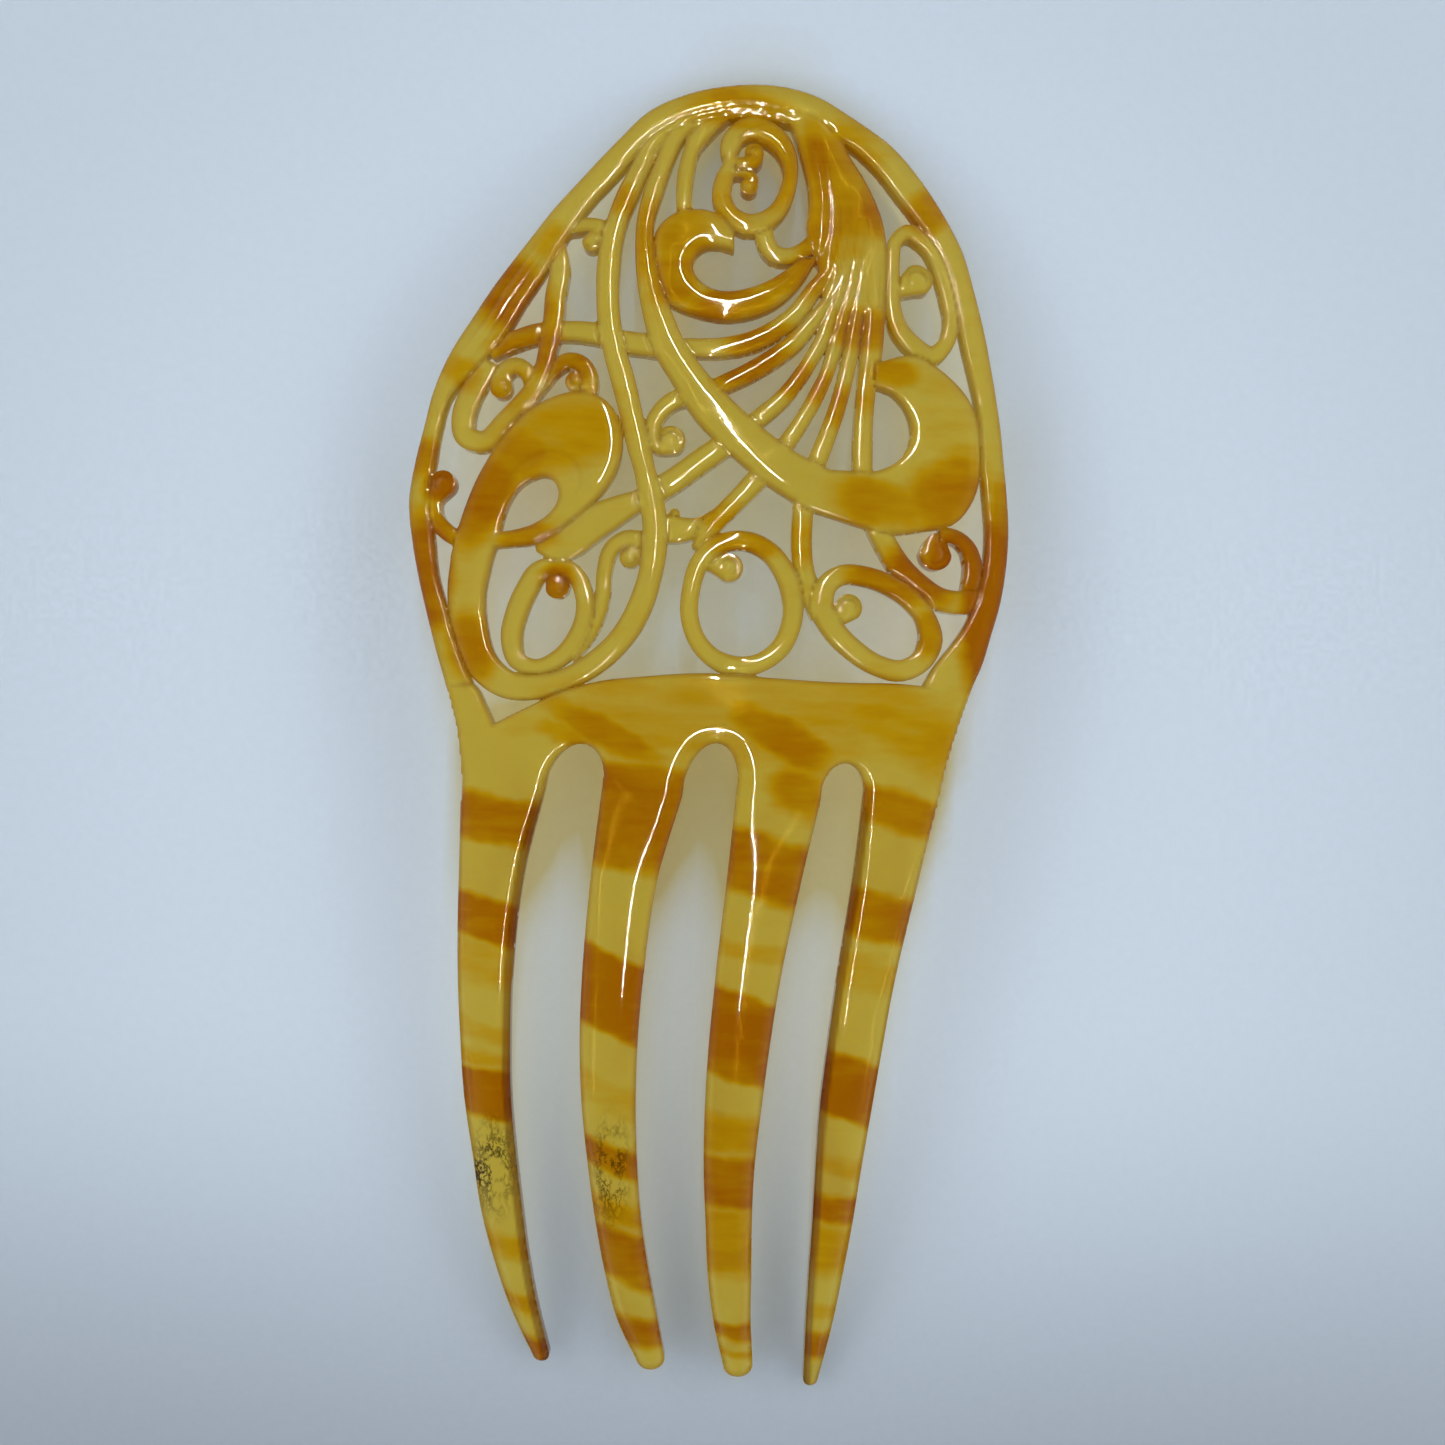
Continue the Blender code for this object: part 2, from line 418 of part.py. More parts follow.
def bar_mesh():
    outline = bar_outline()
    top = SHEET_THICKNESS / 2
    mesh = layered_plate("bar", [(outline, -top), (outline, top - EDGE_DROP),
                                 (offset_outline(outline, EDGE_ROUND), top)])
    bm = bmesh.new()
    bm.from_mesh(mesh)
    bpy.data.meshes.remove(mesh)
    reach = max(abs(u) for u, v in outline)
    panels = int(reach / BAR_PANEL)
    for i in range(-panels, panels + 1):
        bmesh.ops.bisect_plane(bm, geom=bm.verts[:] + bm.edges[:] + bm.faces[:],
                               plane_co=(i * BAR_PANEL, 0, 0), plane_no=(1, 0, 0), dist=0.001)
    return finished_mesh("bar", bm)


def tooth_mesh(name, stations):
    shape = strand(stations, round_end=True)
    pairs = strand_edges(shape)
    u, v, width = shape["stations"][0]
    pairs[0] = tuple((u + side * width / 2, v - JOINT_GAP) for side in (1, -1))
    length = v - shape["stations"][-1][1]
    taper = (SHEET_THICKNESS - TOOTH_TIP_THICKNESS) / length
    sections = [carved_section(pair, SHEET_THICKNESS - taper * (v - (pair[0][1] + pair[1][1]) / 2))
                for pair in pairs]
    return lofted(name, sections, False)


def placed(name, mesh):
    obj = bpy.data.objects.new(name, mesh)
    bpy.context.scene.collection.objects.link(obj)
    return obj


def plan_box(mesh):
    us = [v.co.x for v in mesh.vertices]
    vs = [v.co.y for v in mesh.vertices]
    return min(us), max(us), min(vs), max(vs)


def boxes_meet(a, b):
    return a[0] < b[1] and b[0] < a[1] and a[2] < b[3] and b[2] < a[3]


def main_body(mesh):
    # The largest connected body: what is left past a neighbour's far side is dropped.
    bm = bmesh.new()
    bm.from_mesh(mesh)
    todo = set(bm.faces)
    bodies = []
    while todo:
        stack = [todo.pop()]
        body = list(stack)
        while stack:
            for edge in stack.pop().edges:
                for face in edge.link_faces:
                    if face in todo:
                        todo.remove(face)
                        stack.append(face)
                        body.append(face)
        bodies.append(body)
    bodies.sort(key=lambda body: sum(face.calc_area() for face in body))
    loose = [face for body in bodies[:-1] for face in body]
    bmesh.ops.delete(bm, geom=loose, context="FACES")
    bmesh.ops.dissolve_degenerate(bm, edges=bm.edges, dist=0.0001)
    bmesh.ops.triangulate(bm, faces=bm.faces)
    return finished_mesh(mesh.name, bm)


def bent(u, v, w):
    across = u / CAMBER_RADIUS
    x = (CAMBER_RADIUS + w) * sin(across)
    height = (CAMBER_RADIUS + w) * cos(across) - CAMBER_RADIUS
    along = v / ARCH_RADIUS
    y = (ARCH_RADIUS + height) * sin(along)
    z = (ARCH_RADIUS + height) * cos(along) - ARCH_RADIUS
    return x, y, z


def celluloid(name, amber):
    material = bpy.data.materials.new(name + "_celluloid")
    material.use_nodes = True
    shader = material.node_tree.nodes["Principled BSDF"]
    colour = [p + (a - p) * amber for p, a in zip(PALE, AMBER)]
    shader.inputs["Base Color"].default_value = (*colour, 1.0)
    shader.inputs["Roughness"].default_value = 0.22
    shader.inputs["Metallic"].default_value = 0.0
    return material


def main():
    for obj in list(bpy.data.objects):
        bpy.data.objects.remove(obj, do_unlink=True)

    reach = 2 * SHEET_THICKNESS
    flat = {"bar": bar_mesh()}
    amber = {"bar": 0.4}
    for name, stations in TEETH.items():
        flat[name] = tooth_mesh(name, stations)
        amber[name] = 0.5

    grown = offset_outline(bar_outline(), -JOINT_GAP)
    cutters = [placed("clear_bar", layered_plate("clear_bar", [(grown, -reach), (grown, reach)]))]
    for name, (share, shapes) in HEAD.items():
        amber[name] = share
        solids = []
        clearances = []
        for i, shape in enumerate(shapes):
            closed = shape.get("closed", False)
            pairs = edges_of(shape)
            depth = SHEET_THICKNESS * (1 - 0.05 * i)
            solids.append(placed(name, lofted(name, [carved_section(p, depth) for p in pairs], closed)))
            if not closed:
                pairs[0] = moved_pair(pairs[0], pairs[1], JOINT_GAP)
                pairs[-1] = moved_pair(pairs[-1], pairs[-2], JOINT_GAP)
            clearance = lofted("clear_" + name, [clearance_section(p, reach) for p in pairs], closed)
            clearances.append(placed("clear_" + name, clearance))
        body = solids[0]
        joined = [("UNION", other) for other in solids[1:]]
        boxes = [plan_box(solid.data) for solid in solids]
        cut = [("DIFFERENCE", cutter) for cutter in cutters
               if any(boxes_meet(plan_box(cutter.data), box) for box in boxes)]
        for operation, other in joined + cut:
            other.hide_render = True
            other.display_type = "WIRE"
            step = body.modifiers.new(operation.lower(), "BOOLEAN")
            step.operation = operation
            step.solver = "EXACT"
            step.object = other
        graph = bpy.context.evaluated_depsgraph_get()
        trimmed = bpy.data.meshes.new_from_object(body.evaluated_get(graph))
        trimmed.name = name
        flat[name] = main_body(trimmed)
        for solid in solids:
            bpy.data.objects.remove(solid, do_unlink=True)
        cutters += clearances
    for cutter in cutters:
        bpy.data.objects.remove(cutter, do_unlink=True)

    points = {name: [bent(*v.co) for v in mesh.vertices] for name, mesh in flat.items()}
    every = [p for run in points.values() for p in run]
    low = [min(p[i] for p in every) for i in range(3)]
    high = [max(p[i] for p in every) for i in range(3)]
    origin = ((low[0] + high[0]) / 2, (low[1] + high[1]) / 2, low[2])
    for name, mesh in flat.items():
        for vertex, point in zip(mesh.vertices, points[name]):
            vertex.co = [(p - o) * MM for p, o in zip(point, origin)]
        bm = bmesh.new()
        bm.from_mesh(mesh)
        bmesh.ops.triangulate(bm, faces=bm.faces)
        for face in bm.faces:
            face.smooth = True
        for edge in bm.edges:
            edge.smooth = edge.calc_face_angle(pi) < radians(38)
        bm.to_mesh(mesh)
        bm.free()
        mesh.name = name
        obj = placed(name, mesh)
        obj.name = name
        mesh.materials.clear()
        mesh.materials.append(celluloid(name, amber[name]))


main()
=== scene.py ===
import math
import bpy
import numpy as np
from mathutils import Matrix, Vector


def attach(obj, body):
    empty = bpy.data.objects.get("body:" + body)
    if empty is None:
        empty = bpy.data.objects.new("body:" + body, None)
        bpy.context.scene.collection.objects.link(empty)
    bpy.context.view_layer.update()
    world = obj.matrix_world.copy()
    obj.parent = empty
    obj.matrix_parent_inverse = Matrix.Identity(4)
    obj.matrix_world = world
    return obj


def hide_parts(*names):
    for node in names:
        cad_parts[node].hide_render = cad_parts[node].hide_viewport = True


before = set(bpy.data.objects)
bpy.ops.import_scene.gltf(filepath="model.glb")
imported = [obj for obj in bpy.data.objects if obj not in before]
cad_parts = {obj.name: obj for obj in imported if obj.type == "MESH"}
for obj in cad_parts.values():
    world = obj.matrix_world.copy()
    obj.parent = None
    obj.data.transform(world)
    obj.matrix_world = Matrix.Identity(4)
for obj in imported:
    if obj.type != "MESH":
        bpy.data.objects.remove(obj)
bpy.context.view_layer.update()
for obj in bpy.context.selected_objects:
    obj.select_set(False)
print("stage: frame loaded")

mm = 0.001
sheet = {  # millimetres, heights from the middle of the sheet
    "archRadius": 228.0,  # bend along the comb
    "camberRadius": 170.0,  # bend across it
    "top": 1.4,  # carved face
    "toothWall": 0.6,  # top of the side walls on bar and teeth
    "headWall": 1.0,  # and on the head, which is sawn square
    "headStart": 3.0,  # where the walls begin to rise to the head
    "headBlend": 5.0,
    "foot": -0.55,  # bottom of the side walls
    "back": -1.38,  # flat back
    "backRound": 1.0,
    "backKept": 0.2,  # share of the faces that the smooth back keeps
    "crown": (-0.295, -0.065, 14.449),  # top of the bend, in the frame of the solids
    "smoothAngle": 52,
}
pitch = 0.27  # spacing of the surface points


def bent(points):  # flat sheet to bent sheet, in millimetres
    arch, camber = sheet["archRadius"], sheet["camberRadius"]
    across = points[:, 0] / camber
    reach = camber + points[:, 2]
    x = reach * np.sin(across)
    rise = arch + reach * np.cos(across) - camber
    along = points[:, 1] / arch
    return np.stack([x, rise * np.sin(along), rise * np.cos(along) - arch], 1)


def wallTop(v):
    rise = np.clip((v - sheet["headStart"]) / sheet["headBlend"], 0, 1)
    return sheet["toothWall"] + (sheet["headWall"] - sheet["toothWall"]) * rise


# Carved members: plan stations across, along, width, in millimetres
toothRuns = [
    [(-21.5, -6, 9.5), (-22.5, -15, 7.55), (-23, -28, 6.2), (-22.8, -35, 5.75), (-22.4, -42, 5.4),
     (-21.5, -49, 5), (-20.5, -56, 4.75), (-19.3, -62, 4), (-17.75, -68, 3.1), (-15.75, -73.9, 1.9)],
    [(-5.9, -6, 9), (-7.5, -15, 7.5), (-8.6, -28, 6.8), (-8.8, -35, 6.5), (-8.6, -42, 6.1),
     (-8, -49, 5.6), (-7.15, -56, 5.2), (-6.1, -62, 5), (-4.75, -68, 4.6), (-3.05, -73.4, 3.3)],
    [(9.2, -6, 9.45), (8, -15, 8.3), (6.4, -28, 7.15), (5.8, -35, 6.8), (5.4, -42, 6.35),
     (5.2, -49, 5.75), (5.4, -56, 5.25), (5.7, -62, 5), (6.2, -68, 4.3), (7.1, -74, 3.4)],
    [(22.9, -6, 8.45), (21.6, -15, 7.35), (19.6, -28, 6.45), (18.8, -35, 6.2), (18.1, -42, 5.9),
     (17.6, -49, 5.25), (17.2, -56, 4.6), (16.75, -62, 3.95), (16.3, -68, 3.2), (15.6, -76, 1.7)],
]
barLeft = [(-28.35, 4.8), (-27.7, 2.4), (-27, 0), (-26.55, -2.8)]
barRight = [(27.8, -2.8), (28.5, 0), (29.3, 2.7), (30.3, 5.9)]
barTop = [(22.5, 6.5), (15, 6.4), (8, 6.6), (0, 6.85), (-6, 6.3), (-11.5, 5.5),
          (-15.5, 4.2), (-19, 2.5), (-22.8, 0.5)]
barNotch = [(-24.6, 4.1), (-25.2, 4.8)]
slotArches = {"foot": -6.0, "tops": (-1.45, -0.85, -2.6), "leans": (0.7, 0.6, 0.2), "steps": 16}

rimRun = [
    (-26.8, 4.4, 3), (-28.55, 9, 2.4), (-29.8, 13, 2.3), (-31, 17, 2.1), (-31.75, 21, 2.4),
    (-32.4, 25.5, 2.3), (-31.95, 30, 2.2), (-31.3, 34, 1.9), (-30.4, 38, 2.1), (-28.5, 41.4, 3.4),
    (-25.3, 46.1, 4.4), (-23.1, 50, 4.2), (-21.2, 53, 4), (-19.4, 56, 3.6), (-17.4, 59.2, 3.3),
    (-15.1, 62.4, 2.95), (-13, 65, 3), (-10.4, 68.2, 3), (-7, 71.3, 4), (-3, 73.3, 4.2),
    (1.5, 74.4, 4.3), (6, 74.5, 4.6), (10, 73.6, 4.6), (13.4, 72.1, 3.8), (15.2, 71.2, 3.3),
    (18.6, 68.6, 3.5), (21.7, 64.9, 3.6), (24.4, 61.1, 3.3), (27, 57, 2.5), (28.5, 52, 2.5),
    (29.6, 47, 2.8), (30.5, 43, 2.6), (31.15, 40, 2.4), (31.8, 36, 2.4), (32.15, 32, 2.6),
    (32.6, 28, 2.6), (32.9, 24, 2.5), (32.7, 20, 2.5), (32, 16, 2.7), (31, 13, 3.1), (29.7, 10, 4.1),
    (28.3, 7.5, 4.9), (27.2, 5, 5.4)]
ribbonRun = [
    (-6.6, 70.2, 3), (-8, 67.9, 2.2), (-9.3, 64.7, 2.2), (-10.2, 62.4, 2.4), (-11.1, 59.8, 2.3),
    (-11.75, 57, 2.4), (-12.1, 53, 2.6), (-12.05, 50, 2.5), (-11.65, 46.2, 2.6), (-10.9, 43, 2.6),
    (-9.8, 39.5, 2.7), (-8.9, 36.3, 2.55), (-7.75, 32, 2.6), (-6.9, 29, 2.4), (-6.2, 26.3, 2.8),
    (-5.65, 23.5, 2.7), (-5.6, 20.5, 2.8), (-5.95, 17.5, 2.6), (-6.6, 15, 2.7), (-7.6, 12.5, 2.7),
    (-9.45, 9.7, 2.6), (-11.8, 7.5, 2.6), (-15.1, 5.6, 2.4), (-18.2, 4.7, 2.8), (-21.5, 4.9, 3.2),
    (-24.4, 7.1, 3.6), (-25.95, 11, 3.9), (-26.5, 15, 4.2), (-26.1, 19, 4.6)]
paisleyEdges = (
    [(-27.9, 21.8), (-26.9, 25.2), (-25.5, 28.8), (-23.7, 32), (-21.4, 35), (-18.4, 37.2),
     (-15.3, 38.2), (-12.2, 37.6), (-10.3, 35.6), (-9.6, 32.9), (-9.9, 29.9), (-11.2, 27.2),
     (-13.2, 24.9), (-15.8, 22.7), (-18.7, 20.85)],
    [(-23, 21.6), (-22.5, 24.2), (-21.4, 26.6), (-20.4, 27.6), (-19.4, 28.15), (-18.5, 28.4),
     (-17.7, 28.3), (-17.1, 27.9), (-16.7, 27.3), (-16.5, 26.7), (-16.5, 26.1), (-16.7, 25.3),
     (-17.2, 24.5), (-18, 23.7), (-19.3, 22.9)])
paisleyTip = ([(-17.2, 21.8), (-18.7, 20.85), (-21.3, 20.4), (-24.6, 20.1)],
              [(-18.3, 23.5), (-19.3, 22.9), (-21.4, 22.25), (-24, 21.9)])
stemRun = [
    (-3.8, 72, 3.2), (-5, 70.2, 2.5), (-5.9, 67.6, 2), (-6.6, 65.3, 2), (-7.4, 62.4, 2.15),
    (-8.1, 59, 1.95), (-8.1, 56, 2.1), (-7.75, 53, 2.4), (-7.1, 50, 2.8), (-6.15, 47, 3.3),
    (-5, 44.1, 3.6), (-3, 40.9, 3.7), (0.35, 36.6, 4.5), (4.1, 33.2, 4.6), (7.9, 30.3, 4.8),
    (12.4, 27.9, 5.2)]
crescentEdges = (
    [(16, 24.3), (18, 23.8), (21.2, 23.3), (24.5, 23.9), (27.9, 24.9), (30, 27.8), (30.8, 31.5),
     (30.7, 35), (29.6, 38.8), (26.8, 42), (22.8, 44.1), (18.4, 42.9)],
    [(16, 30.2), (17.4, 30.15), (18.9, 30.4), (20.2, 30.95), (21.4, 31.8), (22.2, 33),
     (22.65, 34.4), (22.65, 35.9), (22.2, 37.4), (21.4, 38.6), (20.2, 39.6), (18.3, 40.15)])
plumeEdges = (
    [(7.6, 73.4), (9.6, 66.8), (10.2, 64.2), (10.4, 61.5), (10.2, 58.8), (10.5, 56.6), (11.6, 54.2),
     (12, 51.3), (12.7, 48.8)],
    [(13.2, 72.4), (15, 68), (16.6, 65.4), (17.9, 62.8), (18.9, 60), (19.4, 57),
     (19.5, 53.5), (19.4, 50.5), (19.3, 47.9)])
earEdges = (
    [(2, 57.75), (0.4, 59.7), (-2, 60.4), (-4.7, 59.9), (-6.6, 58), (-7.3, 55), (-7, 51.7),
     (-5.3, 49), (-2.2, 47.6), (1.2, 47.05), (4.5, 47.65), (7.5, 49.3), (9.7, 51.7), (11.6, 55.2)],
    [(2.1, 55.35), (1.2, 55.7), (0.1, 55.9), (-1.1, 55.75), (-2, 55.05), (-2.5, 53.9),
     (-2.35, 52.6), (-1.55, 51.5), (-0.4, 50.75), (1.2, 50.45), (3.2, 50.75), (5.4, 51.6),
     (7.3, 52.8), (9.4, 54.7)])
tailEdges = (
    [(-6.4, 27.4), (-8.5, 26.8), (-10.4, 26.2), (-12.9, 25.2), (-15.2, 23.2), (-17, 21.8),
     (-18.9, 20.7)],
    [(-6.4, 25.2), (-8.2, 24), (-9.9, 22.7), (-12, 21.1), (-14.2, 19.4), (-16.4, 18.7),
     (-18.7, 19.8)])
ringRuns = {
    "centreOval": [
        (4.6, 21.75, 2.1), (7.2, 20.6, 2.2), (9, 18.3, 2.3), (9.95, 15.4, 2.3), (9.85, 12.5, 2.2),
        (8.7, 9.9, 2.2), (6.5, 8.2, 2.1), (3.9, 7.7, 2.3), (1.2, 8.7, 2.1), (-0.6, 10.7, 2),
        (-1.45, 13.4, 2), (-1.3, 16.3, 2), (-0.45, 19.2, 2.1), (1.7, 21.3, 2.1)],
    "rightOval": [
        (15.3, 18.4, 2.2), (17.8, 18.4, 2.2), (20.6, 17.6, 2.2), (23, 16.2, 2.2), (24.9, 14.1, 2.2),
        (25.6, 11.6, 2.6), (24.7, 9.3, 2.4), (22.4, 8, 2.4), (19.6, 8.5, 2.3), (16.9, 10.1, 2.4),
        (14.4, 12.5, 2.5), (13.2, 15, 2.6), (13.7, 17.2, 2.4)],
    "leftOval": [
        (-16.6, 18.3, 2), (-14.4, 17.5, 2), (-13.2, 15.2, 2), (-13.05, 12.8, 2),
        (-13.9, 10.2, 2.1), (-15.7, 8, 2), (-18.2, 6.9, 1.8), (-20.4, 7.6, 2),
        (-21.15, 10, 2.3), (-20.7, 12.9, 2.4), (-19.6, 15.7, 2.4), (-18.4, 17.6, 2.3)],
    "rightLoop": [
        (21.75, 59.15, 1.9), (20.4, 57.8, 1.6), (20.2, 55.9, 1.5), (20.25, 51.9, 1.6), (20.3, 50, 1.7),
        (20.9, 47.6, 2), (22.6, 45.5, 2.2), (24.9, 44.3, 2.2), (26.4, 45.8, 1.8), (27.1, 48.3, 1.8),
        (26.9, 51.8, 2.4), (26, 54.8, 2.4), (24.3, 57.9, 2.2)],
    "eyeRing": [
        (3.4, 71.1, 2.8), (6, 70.2, 2.7), (7.6, 68.2, 2.2), (8.2, 65.4, 1.7), (7.85, 63, 1.8),
        (6.7, 60.5, 2), (5.2, 59.2, 2.3), (3.3, 58.75, 2.55), (1.5, 59.8, 2.3), (0.4, 62.15, 2.2),
        (0.7, 64.6, 2), (1.2, 66.6, 1.4), (1.1, 68.2, 2.2), (1.8, 70, 2.4)],
}
# Balls at the ends of the curls: the run into each ball ends in a round cap
curlRuns = {
    "centreOvalCurl": [(-0.5, 19.3, 1.6), (1.1, 19.1, 2.2), (2.75, 18.65, 3.2)],
    "rightOvalCurl": [(13.9, 13.3, 1.6), (15.2, 13.9, 2.4), (16.15, 14.75, 3.1)],
    "leftOvalCurl": [(-17.2, 18, 1.6), (-16.6, 16.9, 2), (-16.2, 15.95, 2.7)],
    "rightLoopCurl": [(20.4, 51.6, 1.6), (21.6, 52.4, 2.4), (22.95, 53.3, 3.7)],
    "eyeCurlUpper": [(0.5, 66.55, 1.3), (1.85, 66.35, 1.5), (3.25, 66.45, 1.8), (4, 67.1, 2.05),
        (3.95, 67.9, 2.2)],
    "eyeCurlLower": [(0.15, 64.4, 1.5), (1.35, 65.15, 1.2), (2.85, 65.25, 1.3), (3.8, 64.55, 1.45),
        (3.5, 63.5, 2.05)],
    "ribbonHookCurl": [(-7.9, 21, 1.2), (-7.9, 20.2, 1.8), (-8.25, 19.4, 2.3)],
    "leftLoopCurl": [(-21.1, 35.6, 1.8), (-20.05, 38.15, 1.8), (-20.55, 40.3, 1.9), (-22.1, 41.3, 1.9),
        (-23.6, 40.3, 2.2), (-23.6, 38.7, 2.5)],
    "paisleyHookCurl": [(-13.6, 39, 1.6), (-15.1, 39.4, 2.5)],
    "leftCurl": [(-26.6, 20.6, 1.9), (-29.2, 22.1, 1.9), (-30.7, 23.9, 2), (-30.9, 25.6, 2.2),
        (-29.8, 27.5, 3.1)],
    "rimCurlBall": [(-13, 57.6, 1.5), (-14.1, 56.1, 2.2)],
    "centreCurlBall": [(-6.2, 32.1, 1.5), (-5.3, 32.2, 2.2), (-4.25, 32.75, 3.4)],
    "lowerScrollBall": [(26.3, 23.5, 1.6), (25.9, 22.4, 2.8), (25.8, 21.3, 3.7)],
    "leafNub": [(-3.6, 23.4, 1.6), (-3.5, 24.5, 1.2)],
}
strandRuns = {
    "dropStem": [(10.9, 27.2, 2.3), (10.7, 24, 2.3), (10.7, 21.5, 2.3), (11, 19, 2.3),
        (11.8, 16.4, 2.4), (13.2, 13.6, 2.3)],
    "ribbonHook": [(-6.4, 21.3, 2), (-8.8, 21.5, 1.9), (-10.3, 20.4, 1.8), (-11, 18, 1.7),
        (-11.1, 15.2, 1.7), (-11.6, 12.6, 1.6), (-12.6, 10.4, 1.5), (-14.4, 8, 1.4)],
    "smallHook": [(5.3, 58.6, 2.2), (5.6, 56.8, 2.1), (6.6, 55.3, 2.1), (8.3, 55.1, 1.9),
        (10, 56, 1.8), (11.3, 57.4, 1.8)],
    "shortStrand": [(-0.9, 73, 4), (-2.2, 70.4, 2.7), (-3.1, 68.3, 1.9), (-3.7, 65.3, 1.9),
        (-3.9, 62.5, 1.8), (-3.7, 59.4, 1.7)],
    "leftTendril": [(-18.2, 56.4, 1.8), (-17.6, 53.2, 2.2), (-17.95, 49.5, 2.3), (-18.05, 46.5, 2.3),
        (-18.45, 43.5, 2.1), (-18.95, 41, 1.9), (-19.8, 38.9, 1.9), (-21.2, 37, 1.9),
        (-23.1, 34.8, 2), (-25.3, 32.4, 2.4), (-27.4, 33, 2.5), (-27.8, 35.2, 2.6),
        (-27.3, 37.4, 2.6), (-26.2, 39.6, 2.4), (-25, 41.8, 2.2)],
    "crossbarLeft": [(-25.2, 42.9, 2), (-22.5, 44.2, 2.2), (-20.2, 45, 2.3), (-17.9, 45.4, 2.3)],
    "crossbarMiddle": [(-18.2, 45.4, 2.2), (-15, 45.35, 2.3), (-11.4, 44.9, 2.6)],
    "crossbarRight": [(-11.4, 44.4, 2.5), (-8.6, 44, 2.5), (-5.2, 43.7, 2.7)],
    "paisleyHook": [(-20.6, 36.9, 1.5), (-18.9, 39.3, 1.6), (-17.5, 41.1, 1.7), (-16, 41.9, 1.8),
        (-14.5, 41.4, 1.9), (-13.6, 40, 1.9), (-13.7, 37.6, 2)],
    "rimCurl": [(-17, 57.9, 1.6), (-14.5, 58.3, 1.7), (-11.8, 57.5, 1.9)],
    "rayOne": [(12.9, 53.6, 1.6), (10.9, 50.7, 1.9), (9.3, 48.2, 2.1), (7.1, 46.2, 2.2),
        (4.3, 44.6, 2.3), (1.3, 43.85, 2.2), (-3.6, 43.6, 2.1)],
    "rayTwo": [(13.4, 50.4, 1.4), (11.2, 47.4, 1.8), (9.4, 45, 2), (7, 42.9, 2.1),
        (4.2, 41, 2.1), (-0.2, 38.7, 2)],
    "rayThree": [(13.4, 49.8, 1.7), (12.5, 45.7, 1.7), (11.2, 43, 1.7), (9.7, 40.4, 1.8),
        (7.9, 38, 1.9), (5.7, 35.9, 2), (3.6, 34, 2)],
    "rayFour": [(14.6, 49.4, 1.9), (13.8, 44.5, 1.75), (12.9, 41.2, 1.6), (11.9, 38.8, 1.8),
        (10.6, 36.2, 1.8), (9.2, 33.8, 1.9), (7.6, 31.4, 2)],
    "rayFive": [(16.1, 49.4, 2), (15.5, 43.4, 1.75), (14.85, 40, 1.8), (14.2, 37.3, 1.9),
        (13.3, 34.4, 2), (12.4, 31.8, 2.1), (11.6, 29.4, 2.1)],
    "raySix": [(18.2, 49.4, 2.4), (17.9, 44, 2.5), (17.5, 40, 2.1), (17.25, 36, 2.1),
        (17.25, 32.5, 2.2), (17.3, 28.8, 2.2)],
    "centreCurl": [(-1.6, 38.4, 2.2), (-4.7, 37, 2), (-6, 35.3, 1.9), (-6.4, 33.4, 1.9),
        (-6.6, 31.6, 1.9)],
    "strutUpper": [(3.4, 33.8, 2.6), (-0.9, 30.5, 2.7), (-3.4, 28.5, 2.7), (-6.4, 26.5, 2.8)],
    "strutLower": [(6.9, 30.5, 2.5), (4.2, 27.2, 2.3), (2.2, 25, 2.2), (0.6, 23.2, 2.3),
        (-0.6, 20.4, 2)],
    "leaf": [(2, 24.8, 1.8), (-1, 23, 2.2), (-3, 22.7, 2.9), (-5.4, 22.9, 3.2)],
    "rightStem": [(18.5, 25.4, 2.6), (20.3, 21.9, 2.5), (21.9, 19.6, 2.6), (24.1, 17.7, 2.5),
        (26.6, 16.2, 2.6), (29.3, 16, 2.6), (32.2, 16.8, 2.2)],
    "lowerScroll": [(29.6, 16, 1.9), (30.2, 18.6, 2.2), (30.1, 20.8, 2), (29.4, 22.4, 1.8),
        (28, 23.4, 1.7), (26.2, 23.6, 1.7)],
}


def smoothRun(rows, closed=False, step=0.7):  # smooth curve through the stations
    rows = np.array(rows, float)
    count = len(rows)
    order = np.arange(count + (1 if closed else 0)) % count
    pts = rows[order]
    gaps = np.hypot(*(pts[1:, :2] - pts[:-1, :2]).T)
    rates = (pts[1:] - pts[:-1]) / gaps[:, None]
    slopes = np.empty_like(pts)
    share = gaps[1:] / (gaps[1:] + gaps[:-1])
    slopes[1:-1] = rates[:-1] * share[:, None] + rates[1:] * (1 - share)[:, None]
    if closed:
        wrap = gaps[0] / (gaps[0] + gaps[-1])
        slopes[0] = slopes[-1] = rates[-1] * wrap + rates[0] * (1 - wrap)
    else:
        slopes[0], slopes[-1] = rates[0], rates[-1]
    run = []
    for i, gap in enumerate(gaps):
        parts = max(2, math.ceil(gap / step))
        t = (np.arange(parts) / parts)[:, None]
        run.append((2 * t ** 3 - 3 * t ** 2 + 1) * pts[i] + gap * (t ** 3 - 2 * t ** 2 + t) * slopes[i]
                   + (3 * t ** 2 - 2 * t ** 3) * pts[i + 1] + gap * (t ** 3 - t ** 2) * slopes[i + 1])
    run.append(pts[-1:])
    return np.concatenate(run)


